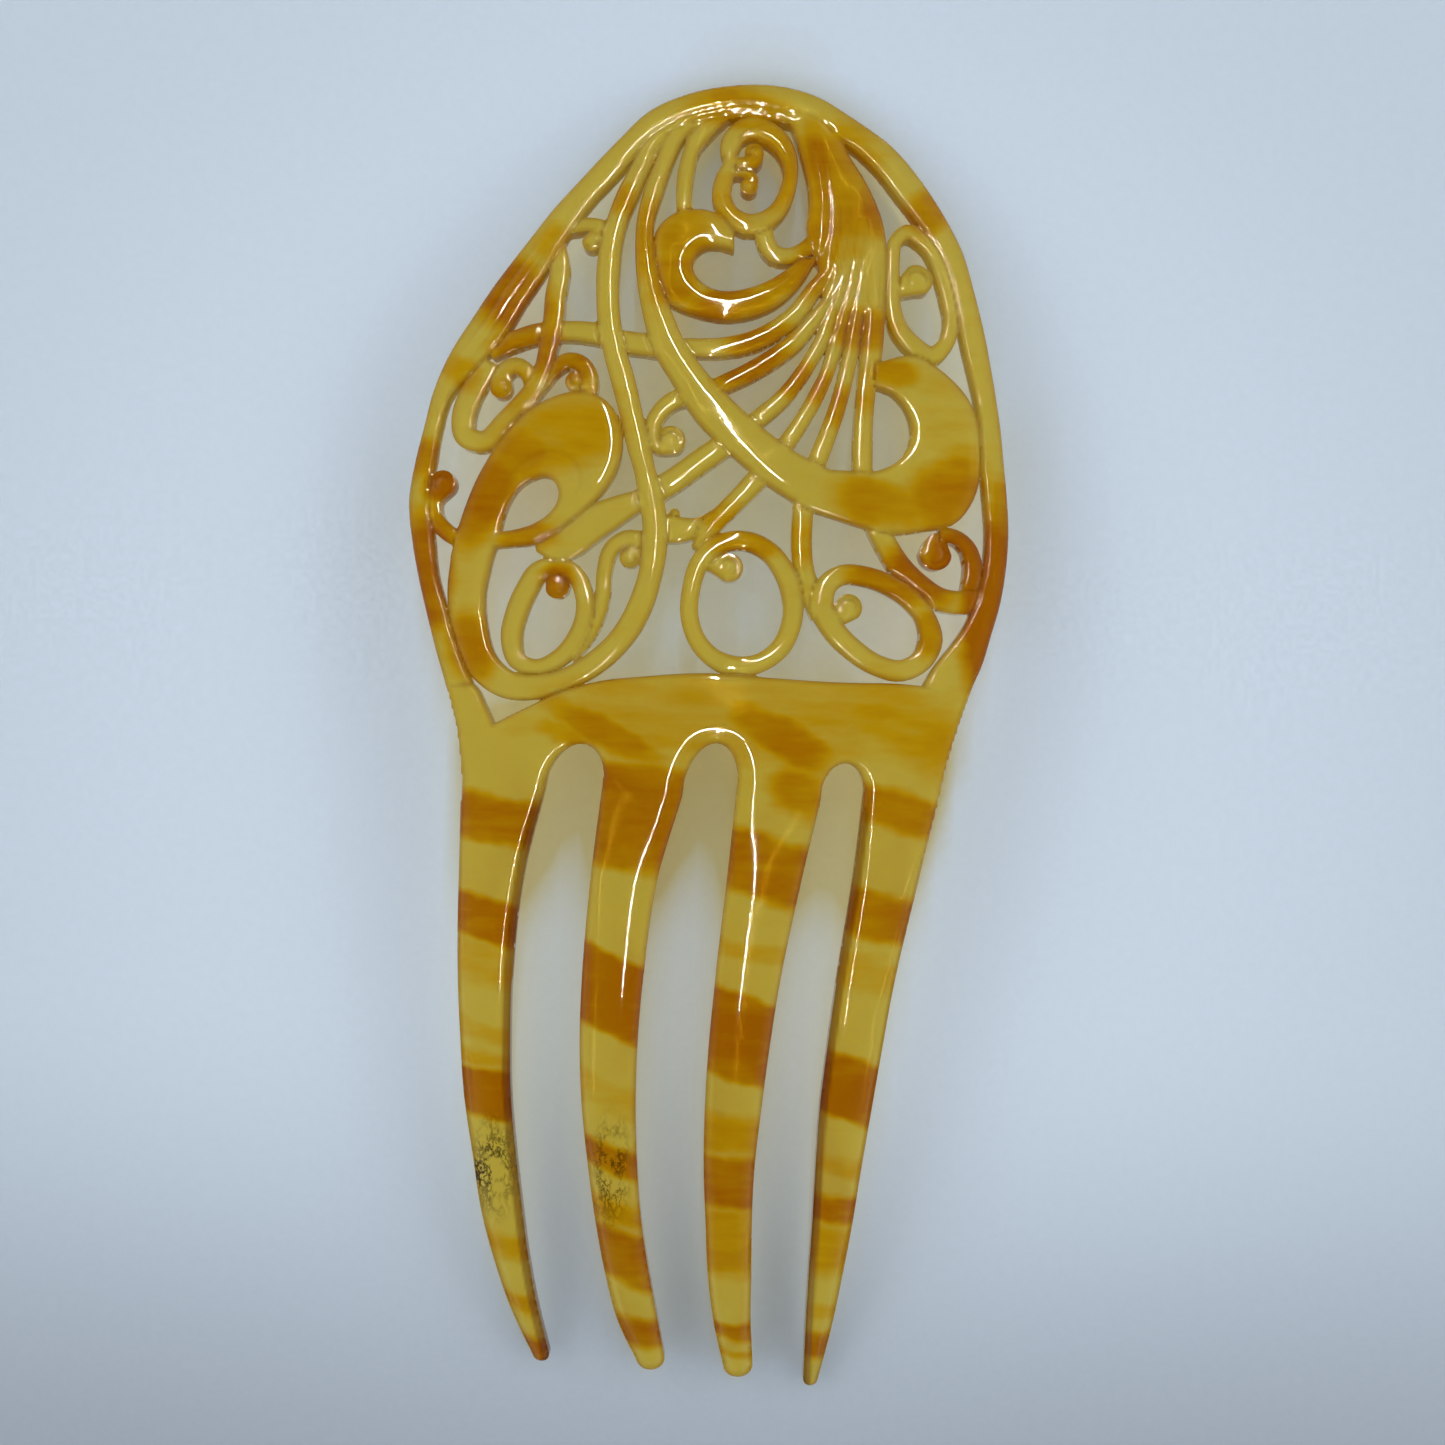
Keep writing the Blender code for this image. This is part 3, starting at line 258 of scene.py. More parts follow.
def edgesOf(run, closed=False, cap=False):  # left and right edge lines of a run
    rows = smoothRun(run, closed)
    lines = rows[:, :2]
    ahead = np.roll(lines, -1, 0) - np.roll(lines, 1, 0)
    if closed:
        ahead[0] = ahead[-1] = lines[1] - lines[-2]
    else:
        ahead[0], ahead[-1] = lines[1] - lines[0], lines[-1] - lines[-2]
    ahead /= np.hypot(ahead[:, 0], ahead[:, 1])[:, None]
    side = np.stack([-ahead[:, 1], ahead[:, 0]], 1) * rows[:, 2:3] / 2
    left, right = lines + side, lines - side
    if cap:
        half = rows[-1, 2] / 2
        turn = np.radians([15, 30, 45, 60, 75, 90])[:, None]
        tipLeft = lines[-1] + ahead[-1] * half * np.sin(turn) + side[-1] * np.cos(turn)
        tipRight = lines[-1] + ahead[-1] * half * np.sin(turn) - side[-1] * np.cos(turn)
        left, right = np.concatenate([left, tipLeft]), np.concatenate([right, tipRight])
    return left, right


def bandOf(edges):  # smooth edge lines from two listed ones
    rows = np.concatenate([(np.array(edges[0]) + np.array(edges[1])) / 2, edges[0], edges[1]], 1)
    rows = smoothRun(rows)
    return rows[:, 2:4], rows[:, 4:6]


def baseOutline():  # bar and teeth as one outline, anticlockwise
    pieces = [np.array(barLeft)]
    edges = [edgesOf(run, cap=True) for run in toothRuns]
    for i, (left, right) in enumerate(edges):
        pieces += [right, left[::-1]]
        if i < len(slotArches["tops"]):
            start, end = left[0][0], edges[i + 1][1][0][0]
            foot, steps = slotArches["foot"], slotArches["steps"]
            turn = np.pi * (1 - np.arange(1, steps) / steps)
            lean = slotArches["leans"][i] * np.sin(turn)
            pieces.append(np.stack([(start + end) / 2 + lean + (end - start) / 2 * np.cos(turn),
                                    foot + (slotArches["tops"][i] - foot) * np.sin(turn)], 1))
    pieces.append(np.array(barRight))
    pieces.append(smoothRun(barRight[-1:] + barTop[:-1])[1:])
    pieces += [np.array(barTop[-1:]), np.array(barNotch)]
    return np.concatenate(pieces)


def ease(x):
    x = np.clip(x, 0, 1)
    return x * x * (3 - 2 * x)


planBox = {"across": (-34.6, 34.7), "along": (-78.4, 77.8)}
gridU = np.arange(*planBox["across"], pitch)
gridV = np.arange(*planBox["along"], pitch)
planU, planV = np.meshgrid(gridU, gridV)
lowEdge = wallTop(planV)
height = lowEdge.copy()  # carved face
cover = np.full(planU.shape, -5.0)  # distance inside the outline of all that is laid so far
# Here the members flow together, with no line cut between them
fusedZones = {"crownMiddle": 3.0, "crownFoot": 68.9, "crownBow": 0.02,
              "plumeAcross": (9.5, 20.5), "plumeFoot": 44.5}
fused = planV > fusedZones["crownFoot"] - fusedZones["crownBow"] * (planU - fusedZones["crownMiddle"]) ** 2
plumeLeft, plumeRight = fusedZones["plumeAcross"]
fused |= (planU > plumeLeft) & (planU < plumeRight) & (planV > fusedZones["plumeFoot"])
carving = {
    "margin": 1.2,  # worked round each member
    "steepest": 0.42,  # most of the width that a rounded side takes
    "ridgeRound": 0.1,
    "bankRound": 0.05,
    "grooveCut": 0.62,  # share cut away where one member passes under another
    "grooveExtra": 0.5,
}
batch = 8000  # points measured at a time


def distanceTo(points, line):  # nearest distance to a line of points
    start, step = line[:-1], line[1:] - line[:-1]
    size = np.maximum((step ** 2).sum(1), 1e-9)
    best = np.empty(len(points))
    for i in range(0, len(points), batch):
        part = points[i:i + batch, None, :] - start
        t = np.clip((part * step).sum(2) / size, 0, 1)
        gap = part - t[..., None] * step
        best[i:i + batch] = np.sqrt((gap ** 2).sum(2).min(1))
    return best


def insideOf(points, outline):
    inside = np.zeros(len(points), bool)
    for (ua, va), (ub, vb) in zip(outline, np.roll(outline, -1, 0)):
        if va != vb:
            crossing = (va > points[:, 1]) != (vb > points[:, 1])
            inside ^= crossing & (points[:, 0] < ua + (points[:, 1] - va) * (ub - ua) / (vb - va))
    return inside


def windowOf(*lines):  # part of the plan that holds the lines
    every = np.concatenate(lines)
    low, high = every.min(0) - carving["margin"], every.max(0) + carving["margin"]
    rows = slice(*np.searchsorted(gridV, [low[1], high[1]]))
    cols = slice(*np.searchsorted(gridU, [low[0], high[0]]))
    return rows, cols


def shoulder(depth, radius):  # rounded rise from an edge
    x = np.clip(depth / radius, 0, 1)
    return np.sqrt(1 - (1 - x) ** 2 + 1e-9)


def planPoints(where):
    return np.stack([planU[where].ravel(), planV[where].ravel()], 1)


# Carves one member between its edge lines, under those laid before it
def lay(left, right, closed=False, level=0.0, radius=0.3, dome=0.17, groove=0.45, merge=False, crease=0.85):
    where = windowOf(left, right)
    points = planPoints(where)
    toLeft, toRight = distanceTo(points, left), distanceTo(points, right)
    if closed:
        inside = insideOf(points, left[:-1]) ^ insideOf(points, right[:-1])
        edge = np.minimum(toLeft, toRight)
    else:
        inside = insideOf(points, np.concatenate([left, right[::-1]]))
        ends = np.minimum(distanceTo(points, np.array([left[0], right[0]])),
                          distanceTo(points, np.array([left[-1], right[-1]])))
        edge = np.minimum(np.minimum(toLeft, toRight), ends)
    signed = np.where(inside, edge, -edge)
    side = np.minimum(toLeft, toRight)
    width = toLeft + toRight
    across = (toLeft - toRight) / width
    rise = shoulder(side, np.minimum(radius, carving["steepest"] * width))
    bank = width / 2 * (1 - np.sqrt(across ** 2 + carving["ridgeRound"])) / crease
    bank = (bank + 1 - np.sqrt((bank - 1) ** 2 + carving["bankRound"])) / 2  # slopes up to a flat top
    low = lowEdge[where].ravel()
    carved = low + (sheet["top"] - level - dome - low) * rise + dome * bank
    shape = planU[where].shape
    low = low.reshape(shape)
    signed, carved = signed.reshape(shape), carved.reshape(shape)
    over = cover[where]
    if merge:  # grows out of its neighbour with no line between them
        height[where] = np.where(signed > 0, np.maximum(height[where], carved), height[where])
    else:
        whole = carved
        gap = np.clip(-over / groove + fused[where], 0, 1)
        carved = carved - carving["grooveCut"] * (1 - gap) ** 2 * (carved - low + carving["grooveExtra"])
        joined = np.where(fused[where], np.maximum(height[where], whole), height[where])
        height[where] = np.where(signed > 0, np.where(over <= 0, carved, joined), height[where])
    cover[where] = np.maximum(over, signed)


def toothPlace(run, u, v):  # distance from the middle of a tooth, and its half width there
    rows = smoothRun(run)[::-1]
    return u - np.interp(v, rows[:, 1], rows[:, 0]), np.interp(v, rows[:, 1], rows[:, 2]) / 2


lowerComb = {
    "crownRise": 0.35,  # middle of a tooth above its sides
    "roundFrom": -4.0, "roundLength": 14.0,  # the face turns round from here down
    "barRadius": 2.3, "toothRadius": 1.4, "headRadius": 0.5, "headBlend": 2.5,
    "taper": 0.35, "taperFrom": -6.0, "taperLength": 70.0,  # thinner at the tips
}
outline = baseOutline()
where = windowOf(outline)
points = planPoints(where)
edge = distanceTo(points, np.concatenate([outline, outline[:1]]))
signed = np.where(insideOf(points, outline), edge, -edge)
lateral = np.full(len(points), np.inf)
for run in toothRuns:  # how far across its tooth each point lies
    off, half = toothPlace(run, *points.T)
    lateral = np.minimum(lateral, np.abs(off) / half)
ramp = ease((lowerComb["roundFrom"] - points[:, 1]) / lowerComb["roundLength"])
crown = 1 - ramp * np.clip(lateral, 0, 1) ** 2
crisp = np.clip(points[:, 1] / lowerComb["headBlend"], 0, 1)
radius = lowerComb["barRadius"] + (lowerComb["toothRadius"] - lowerComb["barRadius"]) * ramp
radius = radius * (1 - crisp) + lowerComb["headRadius"] * crisp
rise = sheet["top"] - lowerComb["crownRise"] - sheet["toothWall"]
carved = sheet["toothWall"] + rise * shoulder(edge, radius) + lowerComb["crownRise"] * crown
toTip = np.clip((lowerComb["taperFrom"] - points[:, 1]) / lowerComb["taperLength"], 0, 1)
carved -= lowerComb["taper"] * toTip
height[where] = np.where(signed > 0, carved, lowEdge[where].ravel()).reshape(planU[where].shape)
cover[where] = np.maximum(cover[where], signed.reshape(planU[where].shape))
# How each kind of member is carved: depth below the face, height of its bank, width of bank and groove
relief = {
    "rim": {"dome": 0.2, "crease": 1.3},
    "broad": {"dome": 0.22, "crease": 1.0},
    "plume": {"dome": 0.24, "crease": 1.4},
    "paisleyTip": {"dome": 0.22},
    "ray": {"level": 0.12, "groove": 0.35},
    "ring": {"level": 0.08},
    "strand": {"level": 0.15},
    "curl": {"level": 0.12, "dome": 0.25, "groove": 0.3},
}
lay(*edgesOf(rimRun), merge=True, **relief["rim"])
print("stage: bar, teeth and rim laid")

joinRibbon, joinPaisley = edgesOf(ribbonRun), bandOf(paisleyEdges)
lay(*[np.concatenate(pair) for pair in zip(joinRibbon, joinPaisley)], **relief["broad"])
lay(*bandOf(paisleyTip), merge=True, **relief["paisleyTip"])
joinStem, joinCrescent = edgesOf(stemRun)[::-1], bandOf(crescentEdges)
lay(*[np.concatenate(pair) for pair in zip(joinStem, joinCrescent)], **relief["broad"])
plumeFoot = {"top": 51.0, "length": 3.2, "dip": 0.5}  # the plume sinks to where its rays begin
plumeLeftEdge, plumeRightEdge = bandOf(plumeEdges)
lay(plumeLeftEdge, plumeRightEdge, **relief["plume"])
onPlume = insideOf(planPoints(slice(None)), np.concatenate([plumeLeftEdge, plumeRightEdge[::-1]]))
sink = np.clip((plumeFoot["top"] - planV) / plumeFoot["length"], 0, 1) ** 2
height -= plumeFoot["dip"] * sink * onPlume.reshape(planU.shape)
lay(*bandOf(earEdges), **relief["broad"])
rayNames = [name for name in strandRuns if name.startswith("ray")]
for name in rayNames:
    lay(*edgesOf(strandRuns[name]), **relief["ray"])
lay(*bandOf(tailEdges), **relief["strand"])
for run in ringRuns.values():
    lay(*edgesOf(run, closed=True), closed=True, **relief["ring"])
for name, run in strandRuns.items():
    if name not in rayNames:
        lay(*edgesOf(run), **relief["strand"])
for run in curlRuns.values():
    lay(*edgesOf(run, cap=True), **relief["curl"])
print("stage: head laid")


def blurred(field, times):
    for _ in range(times):
        wide = np.pad(field, 1, mode="edge")
        field = (wide[:-2, 1:-1] + wide[2:, 1:-1] + wide[1:-1, :-2] + wide[1:-1, 2:] + 2 * field) / 6
    return field


cutSharpness = 1.4


def engrave(line, depth, reach):  # a V line cut into the carved face
    rows = smoothRun(line)
    where = windowOf(rows[:, :2])
    points = planPoints(where)
    cut = np.zeros(len(points))
    for start, end in zip(rows[:-1], rows[1:]):
        step = end[:2] - start[:2]
        t = np.clip(((points - start[:2]) @ step) / (step @ step), 0, 1)
        away = np.hypot(*(points - start[:2] - t[:, None] * step).T)
        share = start[2] + t * (end[2] - start[2])
        cut = np.maximum(cut, share * np.clip(1 - away / reach, 0, 1) ** cutSharpness)
    height[where] -= depth * cut.reshape(planU[where].shape)


# Lines cut in the carved face: across, along, share of the depth
plumeLines = [
    [(12.17, 55.6, 1), (12.6, 58, 1), (12.7, 61, 0.9), (12.2, 65, 0.6), (11.2, 69, 0.4), (9.8, 72, 0.2)],
    [(11.9, 49.9, 1), (12.9, 52.5, 1), (13.7, 56, 1), (14, 60, 0.8), (13.6, 63.5, 0.2)],
    [(12.6, 48.2, 1), (13.9, 52, 1), (14.7, 56, 1), (15, 60, 0.7), (14.8, 62.5, 0.1)],
    [(13.5, 46.3, 1), (14.8, 51, 1), (15.6, 56, 1), (15.9, 60, 0.6), (15.7, 62, 0.1)],
    [(14.4, 43, 1), (15.6, 49, 1), (16.5, 55, 1), (16.8, 59, 0.6), (16.7, 61.4, 0.1)],
    [(16.6, 42.3, 1), (17.1, 49, 1), (17.6, 55, 1), (17.8, 58, 0.6), (17.8, 60.4, 0.1)],
    [(18.4, 47, 0.6), (18.6, 52, 0.8), (18.7, 56, 0.5), (18.5, 59, 0.1)],
    [(12.9, 50.5, 0.3), (14.2, 55, 0.5), (14.5, 59, 0.3), (14.3, 61.5, 0)],
    [(14.1, 48.6, 0.3), (15.2, 55, 0.5), (15.4, 59, 0.3), (15.2, 61, 0)],
    [(15.2, 47, 0.3), (16.05, 54, 0.5), (16.35, 58, 0.3), (16.2, 60.5, 0)],
    [(16.3, 46, 0.3), (17.05, 53, 0.5), (17.3, 57, 0.3), (17.2, 59.5, 0)],
]
crownLines = [
    [(-10.5, 66, 1), (-8.3, 69, 0.9), (-5, 71.6, 0.8), (-1, 73.2, 0.7), (3.5, 73.9, 0.5), (8, 73.2, 0.3)],
    [(-7.6, 67.4, 1), (-6, 69.6, 0.9), (-3.2, 71.5, 0.8), (0.5, 72.7, 0.6), (4.5, 73, 0.3)],
    [(-3.3, 70, 1), (-2.2, 71.2, 0.9), (0, 72.2, 0.6), (3, 72.6, 0.3)],
    [(8.8, 68.3, 1), (8.5, 70, 0.9), (7.6, 71.6, 0.6), (6.2, 72.6, 0.3)],
    [(12.7, 71.2, 1), (11.5, 72.2, 0.7), (9.8, 73.1, 0.4)],
    [(2.1, 69.5, 0.8), (3.2, 70.6, 0.7), (5.2, 71.5, 0.6), (7.6, 71.9, 0.4)],
    [(-27.9, 41, 0.2), (-24.7, 45.7, 0.9), (-22.5, 49.6, 0.9), (-20.6, 52.6, 0.7), (-18.8, 55.6, 0.3)],
    [(-28.9, 41.8, 0.2), (-25.9, 46.5, 0.9), (-23.7, 50.4, 0.9), (-21.8, 53.4, 0.7), (-20, 56.4, 0.3)],
]
dishLine = [(-24.6, 23, 0.2), (-23.1, 26.5, 0.8), (-20.7, 29.8, 1), (-17.5, 31.3, 1), (-14.9, 30.2, 1),
            (-14, 27.9, 0.8), (-15.4, 25.3, 0.5), (-18, 22.9, 0.1)]
# Depth and reach of each kind of cut
cuts = {"dish": (0.3, 2.4), "plume": (0.13, 0.42), "crown": (0.22, 0.45), "curl": (0.34, 0.45)}
engrave(dishLine, *cuts["dish"])  # the hollow round the paisley's hole
for line in plumeLines:
    engrave(line, *cuts["plume"])
for line in crownLines:
    engrave(line, *cuts["crown"])
curlTurn = {"radius": 0.27, "from": 200, "to": -60, "steps": 8, "endShare": 0.4}
for run in curlRuns.values():  # the turn of each curl, cut round the middle of its ball
    (ua, va, _), (ub, vb, wide) = run[-2:]
    facing = math.atan2(vb - va, ub - ua)
    reach = curlTurn["radius"] * wide
    turns = np.radians(np.linspace(curlTurn["from"], curlTurn["to"], curlTurn["steps"] + 1)) + facing
    swell = np.sin(np.linspace(0, math.pi, len(turns)))
    shares = curlTurn["endShare"] + (1 - curlTurn["endShare"]) * swell
    engrave(np.stack([ub + reach * np.cos(turns), vb + reach * np.sin(turns), shares], 1), *cuts["curl"])

hollows = {"softInset": 0.5, "inset": 0.25, "passes": 6, "gain": 9.0, "least": 0.06}
inside = cover > 0
soft = blurred(np.where(inside, height, lowEdge), 1)
height = np.where(cover > hollows["softInset"], soft, height)
near = blurred(inside.astype(float), hollows["passes"])
level = blurred(np.where(inside, height, 0), hollows["passes"]) / np.maximum(near, 0.01)
hollowShade = np.clip(hollows["gain"] * (level - height) - hollows["least"], 0, 1)  # painted shade in the hollows of the carved face
hollowShade = np.where(cover > hollows["inset"], hollowShade, 0)
back = sheet["foot"] + (sheet["back"] - sheet["foot"]) * shoulder(np.maximum(cover, 0), sheet["backRound"])


# Marching squares over the outline: carved face, flat back and the walls between them
def buildSkin():
    nearest = 0.06  # keeps an outline point off the points of the grid
    wholeCell, splitCells = 15, (5, 10)  # corners that are inside, as a sum of 1, 2, 4 and 8
    node = np.full(cover.shape, -1)
    node[inside] = np.arange(inside.sum())
    points = [np.stack([planU[inside], planV[inside]], 1)]
    tops, backs = [height[inside]], [back[inside]]
    count = int(inside.sum())
    cross = {}
    for axis in (0, 1):
        a, b = (cover[:, :-1], cover[:, 1:]) if axis == 0 else (cover[:-1], cover[1:])
        hit = (a > 0) != (b > 0)
        r, c = np.nonzero(hit)
        t = np.clip(a[hit] / (a[hit] - b[hit]), nearest, 1 - nearest)
        table = np.full(a.shape, -1)
        table[hit] = count + np.arange(len(r))
        count += len(r)
        u = gridU[c] + (t * pitch if axis == 0 else 0)
        v = gridV[r] + (t * pitch if axis == 1 else 0)
        points.append(np.stack([u, v], 1))
        tops.append(wallTop(v))
        backs.append(np.full(len(r), sheet["foot"]))
        cross[axis] = table
    corner = inside[:-1, :-1] + 2 * inside[:-1, 1:] + 4 * inside[1:, 1:] + 8 * inside[1:, :-1]
    full = np.nonzero(corner == wholeCell)
    faces = np.stack([node[full], node[full[0], full[1] + 1], node[full[0] + 1, full[1] + 1],
                      node[full[0] + 1, full[1]]], 1).tolist()
    walls = []
    for r, c in zip(*np.nonzero((corner > 0) & (corner < wholeCell))):
        ring = [(node[r, c], inside[r, c]), (cross[0][r, c], None), (node[r, c + 1], inside[r, c + 1]),
                (cross[1][r, c + 1], None), (node[r + 1, c + 1], inside[r + 1, c + 1]),
                (cross[0][r + 1, c], None), (node[r + 1, c], inside[r + 1, c]), (cross[1][r, c], None)]
        loop = [i for i, kind in ring if i >= 0]
        marks = [kind is None for i, kind in ring if i >= 0]
        size = len(loop)
        if corner[r, c] in splitCells:  # two separate corners
            for k in range(size):
                if not marks[k]:
                    before, after = loop[k - 1], loop[(k + 1) % size]
                    faces.append([before, loop[k], after])
                    walls.append((after, before))
            continue
        faces.append(loop)
        walls += [(loop[k], loop[(k + 1) % size]) for k in range(size)
                  if marks[k] and marks[(k + 1) % size]]
    plan = np.concatenate(points)
    top = np.concatenate([plan, np.concatenate(tops)[:, None]], 1)
    bottom = np.concatenate([plan, np.concatenate(backs)[:, None]], 1)
    faces += [[i + count for i in reversed(face)] for face in faces]
    faces += [[b, a, a + count, b + count] for a, b in walls]
    return np.concatenate([top, bottom]), faces, count


skin, skinFaces, topCount = buildSkin()
print("stage: skin has", len(skin), "points and", len(skinFaces), "faces")

mesh = bpy.data.meshes.new("comb")
mesh.from_pydata(skin.tolist(), [], skinFaces)
comb = bpy.data.objects.new("comb", mesh)
bpy.context.scene.collection.objects.link(comb)
bpy.context.view_layer.objects.active = comb
comb.select_set(True)
thinned = comb.vertex_groups.new(name="back")
thinned.add(list(range(topCount, 2 * topCount)), 1.0, "REPLACE")
thin = comb.modifiers.new("thinBack", "DECIMATE")
thin.vertex_group = "back"
everyTriangle = sum(len(face) - 2 for face in skinFaces)
frontTriangles = sum(len(face) - 2 for face in skinFaces if max(face) < topCount)
thin.ratio = 1 - (1 - sheet["backKept"]) * frontTriangles / everyTriangle
bpy.ops.object.modifier_apply(modifier=thin.name)
comb.vertex_groups.clear()

flat = np.empty(len(mesh.vertices) * 3)
mesh.vertices.foreach_get("co", flat)
flat = flat.reshape(-1, 3)
placed = (bent(flat) + np.array(sheet["crown"])) * mm
mesh.vertices.foreach_set("co", placed.ravel())
mesh.update()


def sampled(field, u, v):  # bilinear reading of a plan field
    x = np.clip((u - gridU[0]) / pitch, 0, len(gridU) - 1.001)
    y = np.clip((v - gridV[0]) / pitch, 0, len(gridV) - 1.001)
    c, r = x.astype(int), y.astype(int)
    x, y = x - c, y - r
    return ((field[r, c] * (1 - x) + field[r, c + 1] * x) * (1 - y)
            + (field[r + 1, c] * (1 - x) + field[r + 1, c + 1] * x) * y)


# Amber bands down each tooth: upper edge, lower edge, slope across, strength, softness
toothBands = [
    [(-7.6, -13, -0.1, 0.9, 0.7), (-19, -24, -0.2, 0.95, 0.5), (-24, -29, -0.3, 0.35, 1.2),
     (-33.3, -35.5, -0.15, 0.4, 0.6), (-36.8, -38.3, -0.15, 0.4, 0.5), (-38.8, -44.6, -0.1, 1, 0.5),
     (-58.5, -61.5, -0.2, 0.55, 1), (-66, -68.5, -0.2, 0.6, 0.8), (-71.7, -80, -0.2, 0.95, 0.8)],
    [(-3, -15.3, -0.1, 0.85, 0.8), (-24.7, -33.9, -0.3, 1, 0.5), (-39, -43, -0.35, 0.35, 0.9),
     (-46.8, -50.2, -0.3, 0.95, 0.6), (-53.5, -56.5, -0.2, 0.6, 0.9), (-57, -64, -0.3, 0.95, 0.9),
     (-68, -72, -0.1, 0.9, 0.8)],
    [(-11, -18, -0.2, 0.85, 0.8), (-23, -25, -0.1, 0.4, 0.7), (-28.8, -38.8, -0.25, 1, 0.5),
     (-43, -47.5, -0.1, 0.6, 1), (-47.5, -54, -0.1, 0.95, 0.8), (-54, -62.5, -0.1, 0.6, 1.2),
     (-68.3, -70.5, -0.1, 0.9, 0.5), (-72, -73, -0.1, 0.6, 0.4)],
    [(-5.6, -10, -0.2, 0.8, 0.8), (-17, -22.4, -0.15, 0.85, 0.7), (-24, -28, -0.1, 0.35, 1.2),
     (-35.8, -43.2, -0.28, 1, 0.5), (-47.5, -49.8, -0.2, 0.4, 0.7), (-52.3, -55.6, -0.1, 0.95, 0.6),
     (-55.6, -62, -0.1, 0.55, 1.2), (-66, -68, 0, 0.4, 0.7), (-69.7, -72.8, -0.1, 0.9, 0.6)],
]
# Amber patches on bar and head: middle across and along, half sizes, lean in degrees, strength
amberPatches = [
    (7, 2, 25, 5, 0, 0.34), (23, 2, 8, 4.6, -25, 0.5), (-8, 4.5, 9, 1.6, -8, 0.36),
    (-10.5, 0, 8, 1.7, -26, 0.72), (-15, -0.4, 3.2, 1.2, -20, 0.6), (9, 0.2, 6.8, 2.3, -27, 0.8),
    (11.5, -6, 3.5, 2.6, -35, 0.7), (2.5, 73.2, 6.5, 3, -8, 0.55), (0.6, 74.4, 2.6, 1.7, -10, 0.62),
    (6.4, 66, 4.2, 6.5, 0, 0.6), (1.6, 61.5, 3, 3.5, 0, 0.5), (13.6, 64.8, 5.6, 8.3, 14, 0.58),
    (11.6, 66, 1.5, 6.5, 12, 0.8), (17.4, 61.6, 1.3, 4, 14, 0.78), (11.6, 55.4, 2.6, 5.6, -15, 0.66),
    (8.2, 52.4, 4, 1.9, 35, 0.55), (16.8, 46.8, 3.8, 2.5, 0, 0.82), (-3.6, 57.2, 3.6, 3.6, 0, 0.6),
    (-4.6, 51.8, 3, 3.4, 0, 0.72), (2, 48.9, 5.4, 1.9, 8, 0.78), (-7.7, 56.5, 1.7, 5.2, 0, 0.62),
    (-10.8, 61.5, 1.6, 2, 0, 0.55), (5.5, 45.2, 4.2, 1.4, 20, 0.75), (4.6, 41.6, 4.6, 1.5, 30, 0.9),
    (9.6, 40.5, 1.7, 2.6, -30, 0.72), (12.2, 39.5, 1.4, 2.4, -20, 0.7), (14.2, 37.5, 1.5, 2.6, -10, 0.7),
    (17.3, 39, 1.3, 3.2, 0, 0.42), (27, 28.4, 5.4, 4, 38, 0.78), (19.6, 26.6, 6, 2.8, -8, 0.6),
    (20.6, 41.8, 2.8, 1.6, -10, 0.55), (27, 37, 4, 5, 0, 0.16), (-22.5, 49.3, 5.5, 4.2, -50, 0.92),
    (-18.6, 56, 1.8, 2.4, -35, 0.5), (-28, 40.4, 2.5, 1.6, -30, 0.55), (-32, 30.5, 2.2, 2.6, 0, 0.7),
    (-30.8, 17.5, 3, 7.5, 0, 0.95), (-25.8, 8.8, 2.8, 4.2, 15, 0.75), (-25.2, 25.6, 3.4, 6.4, -28, 0.85),
    (-16.5, 33.4, 7.4, 4.8, 20, 0.5), (-20.8, 31, 3.4, 3, -30, 0.68), (-15.6, 41, 3.2, 1.8, 0, 0.75),
    (-22, 44.3, 3.5, 1.6, 18, 0.75), (-18.5, 43, 1.8, 3.6, 0, 0.8), (-29.8, 27.4, 2.2, 2.2, 0, 1),
    (-16.2, 16.4, 2, 2, 0, 0.9), (-22.5, 38.6, 3.2, 2.6, 30, 0.5), (-20, 21.6, 3.6, 1.6, 0, 0.66),
    (10.6, 22, 1.8, 3.2, 0, 0.5), (4.6, 21.4, 4.2, 1.5, 0, 0.62), (20, 17.6, 5, 1.6, -18, 0.82),
    (25.4, 12.2, 1.8, 3, 0, 0.66), (24, 18.6, 4.6, 2.2, -30, 0.92), (27.8, 21.6, 3.4, 3, 0, 0.95),
    (24, 61.6, 2.6, 3.2, -35, 0.72), (32.4, 16, 3.6, 11, 0, 1.25), (2, 24.2, 2.4, 1.8, 40, 0.5),
    (33.4, 27, 1.6, 4, 0, 0.7), (14.6, 57.5, 2.2, 3.4, 10, 0.38),
]


bandLook = {
    "waves": [(0.45, 0.9, 0.7, 0.0), (0.3, -0.6, 1.7, 1.3), (0.2, 3.1, 0.0, 0.0)],  # height, u, v, start
    "patchWaver": 0.35, "patchReach": 1.4, "patchFade": 0.9,
    "bandWaver": 0.3, "bandTilt": 1.35, "bandFade": 2.4,
    "toothHalf": 5.2, "toothFade": 0.6, "toothTop": -1.5, "toothTopFade": 3.0,
}


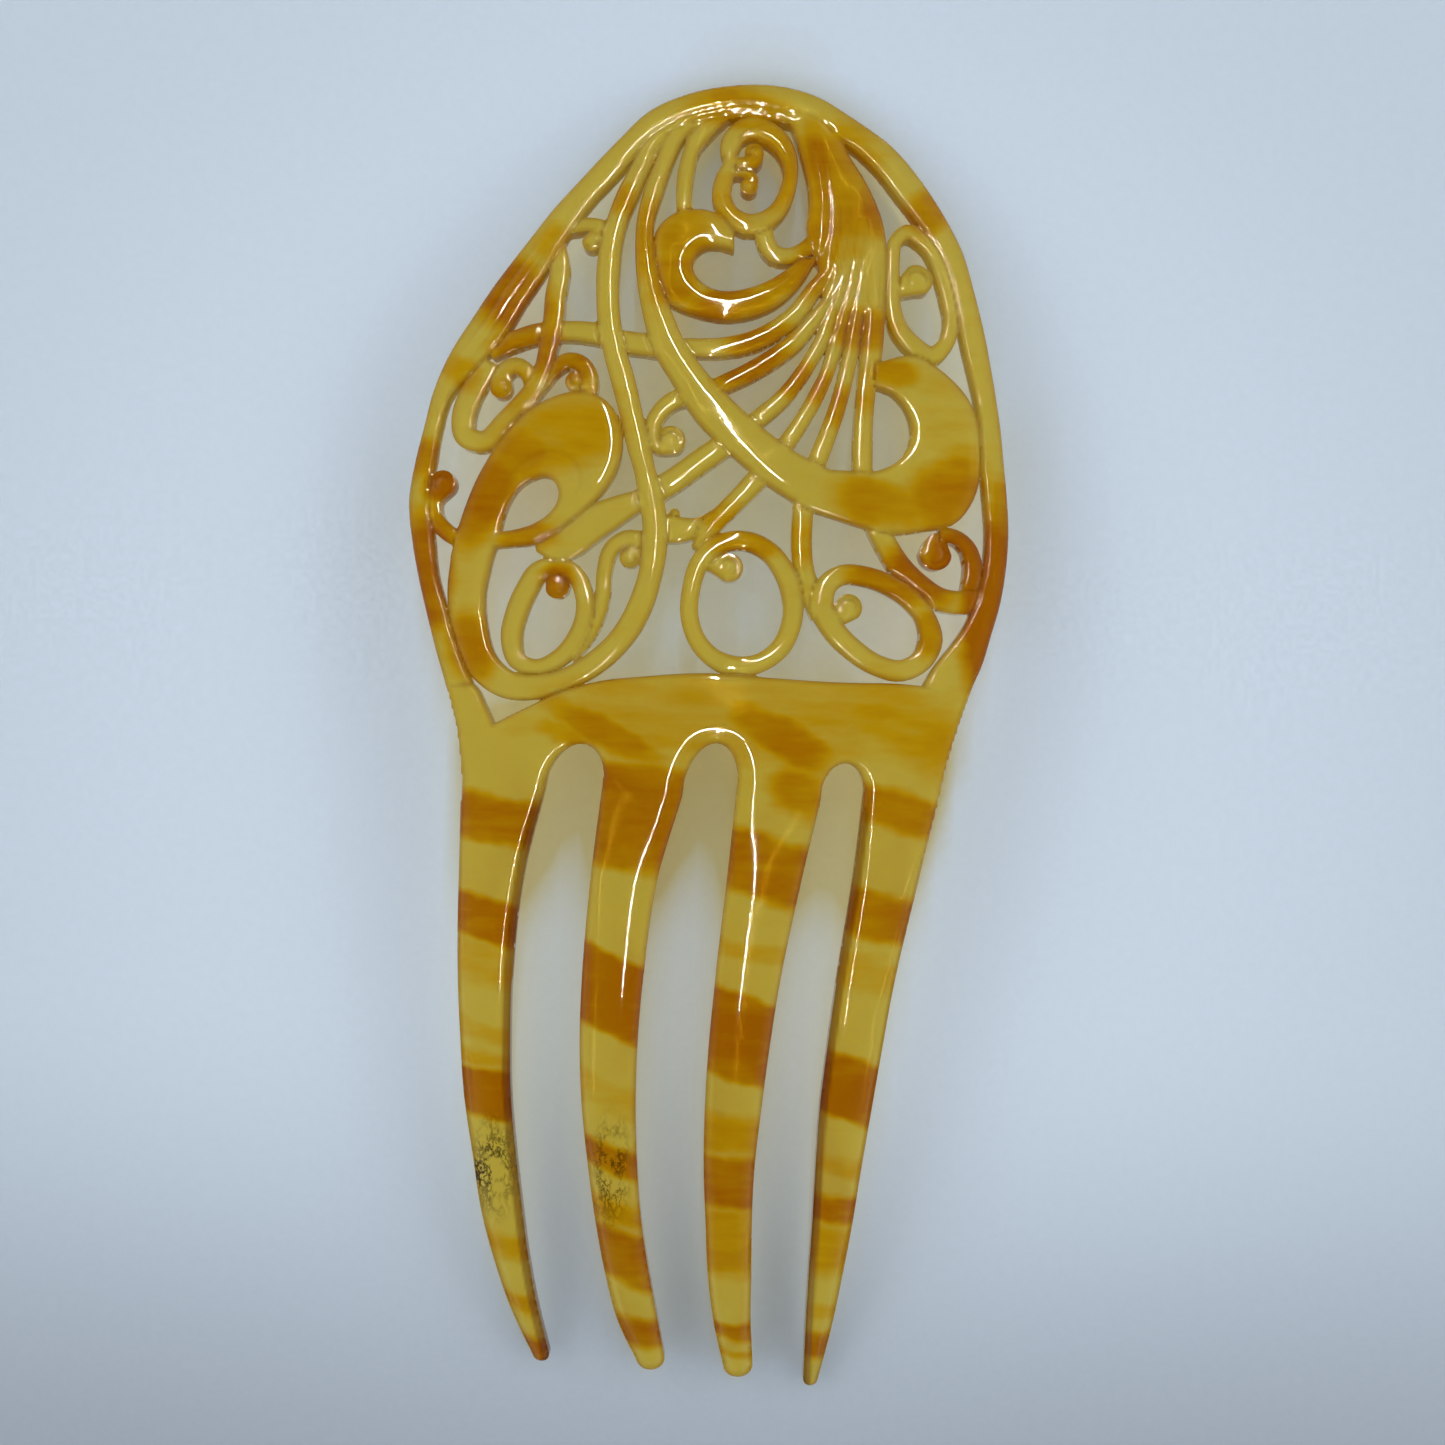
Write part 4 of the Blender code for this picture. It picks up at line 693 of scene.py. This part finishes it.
def amberAt(u, v):  # how deep the amber is at each place on the flat sheet
    look = bandLook
    wave = sum(tall * np.sin(a * u + b * v + start) for tall, a, b, start in look["waves"])
    total = np.zeros(len(u))
    for cu, cv, su, sv, lean, strength in amberPatches:
        a = math.radians(lean)
        x = ((u - cu) * math.cos(a) + (v - cv) * math.sin(a)) / su
        y = ((v - cv) * math.cos(a) - (u - cu) * math.sin(a) + look["patchWaver"] * wave) / sv
        out = np.cbrt(np.abs(x) ** 3 + np.abs(y) ** 3)
        total = np.maximum(total, strength * ease((look["patchReach"] - out) / look["patchFade"]))
    for run, bands in zip(toothRuns, toothBands):
        off, _ = toothPlace(run, u, v)
        onTooth = ease((look["toothHalf"] - np.abs(off)) / look["toothFade"])
        onTooth *= ease((look["toothTop"] - v) / look["toothTopFade"])
        for upper, lower, slope, strength, softness in bands:
            level = v - look["bandTilt"] * slope * off + look["bandWaver"] * wave
            wide = softness * look["bandFade"]
            band = ease((upper - level) / wide + 0.5) * ease((level - lower) / wide + 0.5)
            total = np.maximum(total, strength * band * onTooth)
    return total


def addField(name, values):
    layer = mesh.attributes.new(name, "FLOAT", "POINT")
    layer.data.foreach_set("value", values.astype(np.float32))


flatU, flatV, flatHeight = flat.T
depth = sampled(cover, flatU, flatV)
# Painted shade: dark strips on the side walls where the outer teeth turn to the middle of the comb
wallShadeStrip = {"inset": 1.0, "insetFade": 0.35, "beyond": 1.2, "beyondFade": 0.5, "top": -4.0, "topFade": 6.0}
wallShadeMask = np.zeros(len(flat))
belowBar = ease((wallShadeStrip["top"] - flatV) / wallShadeStrip["topFade"])
for run, side in ((toothRuns[0], 1), (toothRuns[3], -1)):
    off, half = toothPlace(run, flatU, flatV)
    off = off * side - half
    strip = ease((off + wallShadeStrip["inset"]) / wallShadeStrip["insetFade"])
    strip *= ease((wallShadeStrip["beyond"] - off) / wallShadeStrip["beyondFade"])
    wallShadeMask = np.maximum(wallShadeMask, strip * belowBar)
addField("wallShade", wallShadeMask)
addField("amber", amberAt(flatU, flatV))
# Painted shade: the edge field darkens the colour along the edge of every member and in the hollows
faceGain, edgeWidth = 4.0, 0.6
onFace = np.clip(flatHeight * faceGain, 0, 1)
addField("edge", np.maximum(1 - ease(depth / edgeWidth), onFace * sampled(hollowShade, flatU, flatV)))
# Old residue on two teeth: middle across and along, half sizes, strength
residueZones = [(-21.4, -50.4, 2.8, 6.4, 1.05), (-23.2, -51.4, 1.2, 2.2, 1.7), (-8.1, -49.8, 2.3, 6.8, 0.95)]
residueReach = 1.3
residue = np.zeros(len(flat))
for u, v, halfU, halfV, strength in residueZones:
    out = np.hypot((flatU - u) / halfU, (flatV - v) / halfV)
    residue = np.maximum(residue, strength * ease(residueReach - out))
addField("residue", onFace * residue)
bpy.ops.object.shade_smooth_by_angle(angle=math.radians(sheet["smoothAngle"]))


def nodesOf(material):
    material.use_nodes = True
    tree = material.node_tree
    return tree, tree.nodes["Principled BSDF"]


def mixColour(tree, blend, a, b, factor):
    node = tree.nodes.new("ShaderNodeMix")
    node.data_type = "RGBA"
    node.blend_type = blend
    for socket, value in (("A", a), ("B", b), ("Factor", factor)):
        if isinstance(value, bpy.types.NodeSocket):
            tree.links.new(value, node.inputs[socket])
        else:
            node.inputs[socket].default_value = value
    return node.outputs["Result"]


def mathNode(tree, operation, *values, clamp=False):
    node = tree.nodes.new("ShaderNodeMath")
    node.operation = operation
    node.use_clamp = clamp
    for socket, value in zip(node.inputs, values):
        if isinstance(value, bpy.types.NodeSocket):
            tree.links.new(value, socket)
        else:
            socket.default_value = value
    return node.outputs[0]


def fieldOf(tree, name):
    node = tree.nodes.new("ShaderNodeAttribute")
    node.attribute_name = name
    return node.outputs["Fac"]


def noiseOf(tree, stretch, scale, detail=3.0, rough=0.55, lean=0.0):
    place = tree.nodes.new("ShaderNodeTexCoord")
    turn = tree.nodes.new("ShaderNodeMapping")
    turn.inputs["Scale"].default_value = stretch
    turn.inputs["Rotation"].default_value = (0, 0, math.radians(lean))
    noise = tree.nodes.new("ShaderNodeTexNoise")
    noise.inputs["Scale"].default_value = scale
    noise.inputs["Detail"].default_value = detail
    noise.inputs["Roughness"].default_value = rough
    tree.links.new(place.outputs["Object"], turn.inputs["Vector"])
    tree.links.new(turn.outputs["Vector"], noise.inputs["Vector"])
    return noise.outputs["Fac"]


def rangeNode(tree, value, ends, smooth=True):  # ends: from low, from high, to low, to high
    node = tree.nodes.new("ShaderNodeMapRange")
    node.interpolation_type = "SMOOTHSTEP" if smooth else "LINEAR"
    for socket, number in zip(("From Min", "From Max", "To Min", "To Max"), ends):
        node.inputs[socket].default_value = number
    tree.links.new(value, node.inputs["Value"])
    return node.outputs["Result"]


celluloidLook = {
    "pale": (0.51, 0.415, 0.063, 1),
    "honey": (0.49, 0.302, 0.003, 1),
    "deep": (0.365, 0.132, 0.0002, 1),
    "paleUpTo": 0.06,
    "honeyAt": 0.5,
    "streaks": {"stretch": (0.35, 1.5, 1.0), "scale": 420.0, "lean": 18.0},
    "streakShare": 0.62,
    "cloud": {"stretch": (0.5, 1.3, 1.0), "scale": 150.0, "detail": 2.0, "lean": 22.0},
    "cloudShare": 0.5,
    # painted shade along the edges of members and in the hollows
    "edge": (0.54, 0.31, 0.12, 1),
    "edgeShare": 0.62,
    # painted shade on the side walls of the outer teeth
    "wallShade": (0.42, 0.27, 0.12, 1),
    "wallShadeShare": 0.85,
    "ripple": {"stretch": (1.0, 1.0, 1.0), "scale": 1700.0, "detail": 1.0},
    "rippleStrength": 0.35,
    "rippleDepth": 0.000008,
    "through": (0.95, 0.89, 0.76, 1),  # light that passes through the sheet
    "throughShare": 0.88,
    "throughShadow": 0.98,
    "surface": {
        "Roughness": 0.045,
        "Subsurface Weight": 0.6,
        "Subsurface Radius": (1.0, 0.65, 0.2),
        "Subsurface Scale": 0.003,
        "Transmission Weight": 0.55,
        "IOR": 1.5,
        "Specular IOR Level": 0.45,
        "Specular Tint": (1.0, 0.9, 0.68, 1),
    },
}
residueLook = {
    "colour": (0.03, 0.014, 0.003, 1),
    "crackle": {"stretch": (1.6, 0.8, 1.0), "scale": 900.0, "detail": 4.0, "rough": 0.65},
    "lineGain": -11.0,
    "gaps": {"stretch": (1.0, 0.7, 1.0), "scale": 520.0, "detail": 2.0},
    "gapGain": 9.0, "gapStart": -3.3, "blotchGain": 3.0, "blotchStart": -3.6,
}


def swing(tree, noise, share):  # noise as a rise and fall about nothing
    return mathNode(tree, "MULTIPLY", mathNode(tree, "SUBTRACT", noiseOf(tree, **noise), 0.5), share)


def residueMask(tree):  # fine dark lines, with gaps, where the residue lies
    look = residueLook
    crackle = mathNode(tree, "ABSOLUTE", swing(tree, look["crackle"], 1.0))
    lines = mathNode(tree, "MULTIPLY_ADD", crackle, look["lineGain"], 1.0, clamp=True)
    gaps = noiseOf(tree, **look["gaps"])
    gaps = mathNode(tree, "MULTIPLY_ADD", gaps, look["gapGain"], look["gapStart"], clamp=True)
    zone = fieldOf(tree, "residue")
    flecks = mathNode(tree, "MULTIPLY", mathNode(tree, "MULTIPLY", lines, gaps), zone, clamp=True)
    blotch = mathNode(tree, "MULTIPLY_ADD", zone, look["blotchGain"], look["blotchStart"], clamp=True)
    return mathNode(tree, "MAXIMUM", flecks, mathNode(tree, "MULTIPLY", blotch, lines))


def celluloid():
    look = celluloidLook
    material = bpy.data.materials.new("bandedCelluloid")
    tree, shader = nodesOf(material)
    shift = swing(tree, look["streaks"], look["streakShare"])
    drift = swing(tree, look["cloud"], look["cloudShare"])
    amber = mathNode(tree, "ADD", fieldOf(tree, "amber"), mathNode(tree, "ADD", shift, drift), clamp=True)
    ramp = tree.nodes.new("ShaderNodeValToRGB")
    ramp.color_ramp.elements[0].color = look["pale"]
    ramp.color_ramp.elements[1].color = look["deep"]
    ramp.color_ramp.elements[0].position = look["paleUpTo"]
    ramp.color_ramp.elements.new(look["honeyAt"]).color = look["honey"]
    tree.links.new(amber, ramp.inputs["Fac"])
    colour = ramp.outputs["Color"]
    # painted shade multiplied into the colour at edges, hollows and the side walls of the outer teeth
    for name in ("edge", "wallShade"):
        share = mathNode(tree, "MULTIPLY", fieldOf(tree, name), look[name + "Share"])
        colour = mixColour(tree, "MULTIPLY", colour, look[name], share)
    colour = mixColour(tree, "MIX", colour, residueLook["colour"], residueMask(tree))
    tree.links.new(colour, shader.inputs["Base Color"])
    for socket, value in look["surface"].items():
        shader.inputs[socket].default_value = value
    ripple = tree.nodes.new("ShaderNodeBump")
    ripple.inputs["Strength"].default_value = look["rippleStrength"]
    ripple.inputs["Distance"].default_value = look["rippleDepth"]
    tree.links.new(noiseOf(tree, **look["ripple"]), ripple.inputs["Height"])
    tree.links.new(ripple.outputs["Normal"], shader.inputs["Normal"])
    path = tree.nodes.new("ShaderNodeLightPath")
    clear = tree.nodes.new("ShaderNodeBsdfTransparent")
    passed = mixColour(tree, "MIX", ramp.outputs["Color"], look["through"], look["throughShare"])
    tree.links.new(passed, clear.inputs["Color"])
    blend = tree.nodes.new("ShaderNodeMixShader")
    shadow = mathNode(tree, "MULTIPLY", path.outputs["Is Shadow Ray"], look["throughShadow"])
    tree.links.new(shadow, blend.inputs[0])
    tree.links.new(shader.outputs[0], blend.inputs[1])
    tree.links.new(clear.outputs[0], blend.inputs[2])
    tree.links.new(blend.outputs[0], tree.nodes["Material Output"].inputs["Surface"])
    return material


comb.data.materials.append(celluloid())
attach(comb, "root")
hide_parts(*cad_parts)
print("stage: comb finished")

paper = {  # metres
    "size": 1.6,
    "fineHalf": 0.096,  # finer squares under the comb
    "fineStep": 0.002,
    "level": -0.00005,
    "colour": (0.47, 0.548, 0.632, 1),
    "roughness": 0.85,
    "dusk": (-0.098, -0.03, 0.6, 1.0),  # painted light fall-off, darker toward the tips of the teeth
    "lift": (0.02, 0.12, 1.22, 1.0),  # painted light, lighter round the comb
    "brightest": 1.25,
    "grain": {"stretch": (1, 1, 1), "scale": 900.0, "detail": 4.0, "rough": 0.7},
    "grainShare": 0.09,
    "grainLow": 0.955,
    # painted warm shadow and light from the comb: tint and warmth set how the glow field colours the paper
    "tint": (0.78, 0.62, 0.28, 1),
    "warmth": 4.0,
}
glowLook = {  # warm light that comes through the comb onto the paper, in plan millimetres
    "reach": 3.8, "gain": 1.5, "least": 0.34, "everywhere": 0.2,
    "slotTop": 5.0, "slotTopFade": 11.0, "slotFoot": -26.0, "slotFootFade": 18.0,
    "between": 0.055, "betweenTopFade": 8.0, "betweenFoot": -72.0, "betweenFootFade": 30.0,  # down the slots
    "half": (34.0, 77.0), "outFade": 8.0,
}


def spreadOut(field):  # soft blur over the reach of the glow
    reach = int(glowLook["reach"] / pitch)
    bell = np.exp(-0.5 * (np.arange(-3 * reach, 3 * reach + 1) / reach) ** 2)
    bell /= bell.sum()
    for axis in (0, 1):
        field = np.apply_along_axis(np.convolve, axis, field.astype(float), bell, "same")
    return field


def glowAt(u, v):
    look = glowLook
    fromLeft = np.maximum.accumulate(inside, 1)
    fromRight = np.maximum.accumulate(inside[:, ::-1], 1)[:, ::-1]
    below = look["slotTop"] - planV
    slots = ease(below / look["slotTopFade"]) * ease((planV - look["slotFoot"]) / look["slotFootFade"])
    glow = np.clip(look["gain"] * spreadOut(inside) - look["least"], 0, 1)
    glow *= look["everywhere"] + (1 - look["everywhere"]) * slots
    glow += (look["between"] * spreadOut(fromLeft & fromRight) * ease(below / look["betweenTopFade"])
             * ease((planV - look["betweenFoot"]) / look["betweenFootFade"]))
    halfU, halfV = look["half"]
    beyond = np.maximum(np.abs(u) - halfU, 0) + np.maximum(np.abs(v) - halfV, 0)
    fade = np.clip(1 - beyond / look["outFade"], 0, 1)
    return fade * sampled(glow, np.clip(u, -halfU, halfU), np.clip(v, -halfV, halfV))


def paperSheet():
    half, fine, step = paper["size"] / 2, paper["fineHalf"], paper["fineStep"]
    steps = np.concatenate([[-half], np.arange(-fine, fine + step / 20, step), [half]])
    x, y = [grid.ravel() for grid in np.meshgrid(steps, steps)]
    count = len(steps)
    first = (np.arange(count - 1)[:, None] * count + np.arange(count - 1)).ravel()
    squares = np.stack([first, first + 1, first + count + 1, first + count], 1)
    data = bpy.data.meshes.new("paper")
    data.from_pydata(np.stack([x, y, np.full(len(x), paper["level"])], 1).tolist(), [], squares.tolist())
    glow = data.attributes.new("glow", "FLOAT", "POINT")
    glow.data.foreach_set("value", glowAt(x / mm, y / mm).astype(np.float32))
    return data


def paperMaterial():
    material = bpy.data.materials.new("paleBluePaper")
    tree, shader = nodesOf(material)
    place = tree.nodes.new("ShaderNodeTexCoord").outputs["Object"]
    spot = tree.nodes.new("ShaderNodeSeparateXYZ")
    tree.links.new(place, spot.inputs[0])
    away = tree.nodes.new("ShaderNodeVectorMath")
    away.operation = "LENGTH"
    tree.links.new(place, away.inputs[0])
    grain = noiseOf(tree, **paper["grain"])
    tone = mathNode(tree, "MULTIPLY_ADD", grain, paper["grainShare"], paper["grainLow"])
    # painted light fall-off toward the bottom and painted brightening round the comb
    tone = mathNode(tree, "MULTIPLY", tone, rangeNode(tree, spot.outputs["Y"], paper["dusk"]))
    tone = mathNode(tree, "MULTIPLY", tone, rangeNode(tree, away.outputs["Value"], paper["lift"]))
    tone = mathNode(tree, "DIVIDE", tone, paper["brightest"])
    shade = mixColour(tree, "MIX", (0, 0, 0, 1), paper["colour"], tone)
    # painted warm shadow and light where the comb lets light through onto the paper
    warmth = mathNode(tree, "MULTIPLY", fieldOf(tree, "glow"), paper["warmth"], clamp=True)
    shade = mixColour(tree, "MULTIPLY", shade, paper["tint"], warmth)
    tree.links.new(shade, shader.inputs["Base Color"])
    shader.inputs["Roughness"].default_value = paper["roughness"]
    return material


floor = bpy.data.objects.new("paper", paperSheet())
bpy.context.scene.collection.objects.link(floor)
floor.data.materials.append(paperMaterial())
print("stage: paper laid")

lamps = {  # rows of small lamps that shine straight down
    "lowerTube": {"place": (0.02, -0.24, 1.0), "size": (0.007, 0.38), "power": 1.35, "dots": 30.0},
    "upperTube": {"place": (0.02, 0.61, 1.0), "size": (0.012, 0.8), "power": 5.4, "dots": 62.0},
}
litShare = 0.5


def lampRow(name, place, size, power, dots):
    data = bpy.data.lights.new(name, "AREA")
    data.shape = "RECTANGLE"
    data.size, data.size_y = size
    data.energy = power
    data.use_nodes = True
    tree = data.node_tree
    along = tree.nodes.new("ShaderNodeSeparateXYZ")
    tree.links.new(tree.nodes.new("ShaderNodeNewGeometry").outputs["Parametric"], along.inputs[0])
    beat = mathNode(tree, "FRACT", mathNode(tree, "MULTIPLY", along.outputs["Y"], dots))
    lit = mathNode(tree, "DIVIDE", mathNode(tree, "LESS_THAN", beat, litShare), litShare)
    tree.links.new(lit, tree.nodes["Emission"].inputs["Strength"])
    lamp = bpy.data.objects.new(name, data)
    lamp.location = place
    lamp.visible_transmission = False
    bpy.context.scene.collection.objects.link(lamp)


for name, row in lamps.items():
    lampRow(name, **row)

skyLook = {  # each range: from low, from high, to low, to high
    "colour": (0.92, 0.93, 0.95, 1),
    "overhead": (0.62, 0.86, 2.46, 0.4),
    "horizon": (0.1, 0.4, 0.15, 1.0),
    "flank": (0.15, 0.6, 0.16, 1.0),
    "mirrored": (0.3, 0.55, 0.6, 0.88),  # share taken away in reflections
}


def studioSky():
    world = bpy.data.worlds.new("studio")
    world.use_nodes = True
    tree = world.node_tree
    toward = tree.nodes.new("ShaderNodeSeparateXYZ")
    tree.links.new(tree.nodes.new("ShaderNodeTexCoord").outputs["Generated"], toward.inputs[0])
    up, side = toward.outputs["Z"], mathNode(tree, "ABSOLUTE", toward.outputs["X"])
    glare = rangeNode(tree, up, skyLook["overhead"])
    glare = mathNode(tree, "MULTIPLY", glare, rangeNode(tree, up, skyLook["horizon"]))
    glare = mathNode(tree, "MULTIPLY", glare, rangeNode(tree, side, skyLook["flank"]))
    mirrored = tree.nodes.new("ShaderNodeLightPath").outputs["Is Glossy Ray"]
    taken = mathNode(tree, "MULTIPLY", mirrored, rangeNode(tree, up, skyLook["mirrored"], smooth=False))
    glare = mathNode(tree, "MULTIPLY", glare, mathNode(tree, "SUBTRACT", 1.0, taken))
    tree.links.new(glare, tree.nodes["Background"].inputs["Strength"])
    tree.nodes["Background"].inputs["Color"].default_value = skyLook["colour"]
    return world


bpy.context.scene.world = studioSky()

view = {"angle": 33.66, "fromCrown": (2.67, 1.49, 265.5), "turn": 2.05, "clipStart": 0.01}
cameraData = bpy.data.cameras.new("camera")
cameraData.angle = math.radians(view["angle"])
cameraData.clip_start = view["clipStart"]
camera = bpy.data.objects.new("camera", cameraData)
camera.location = (Vector(sheet["crown"]) + Vector(view["fromCrown"])) * mm
camera.rotation_euler = (0, 0, math.radians(view["turn"]))
bpy.context.scene.collection.objects.link(camera)
bpy.context.scene.camera = camera
bpy.context.scene.view_settings.view_transform = "Standard"
print("stage: camera and light")
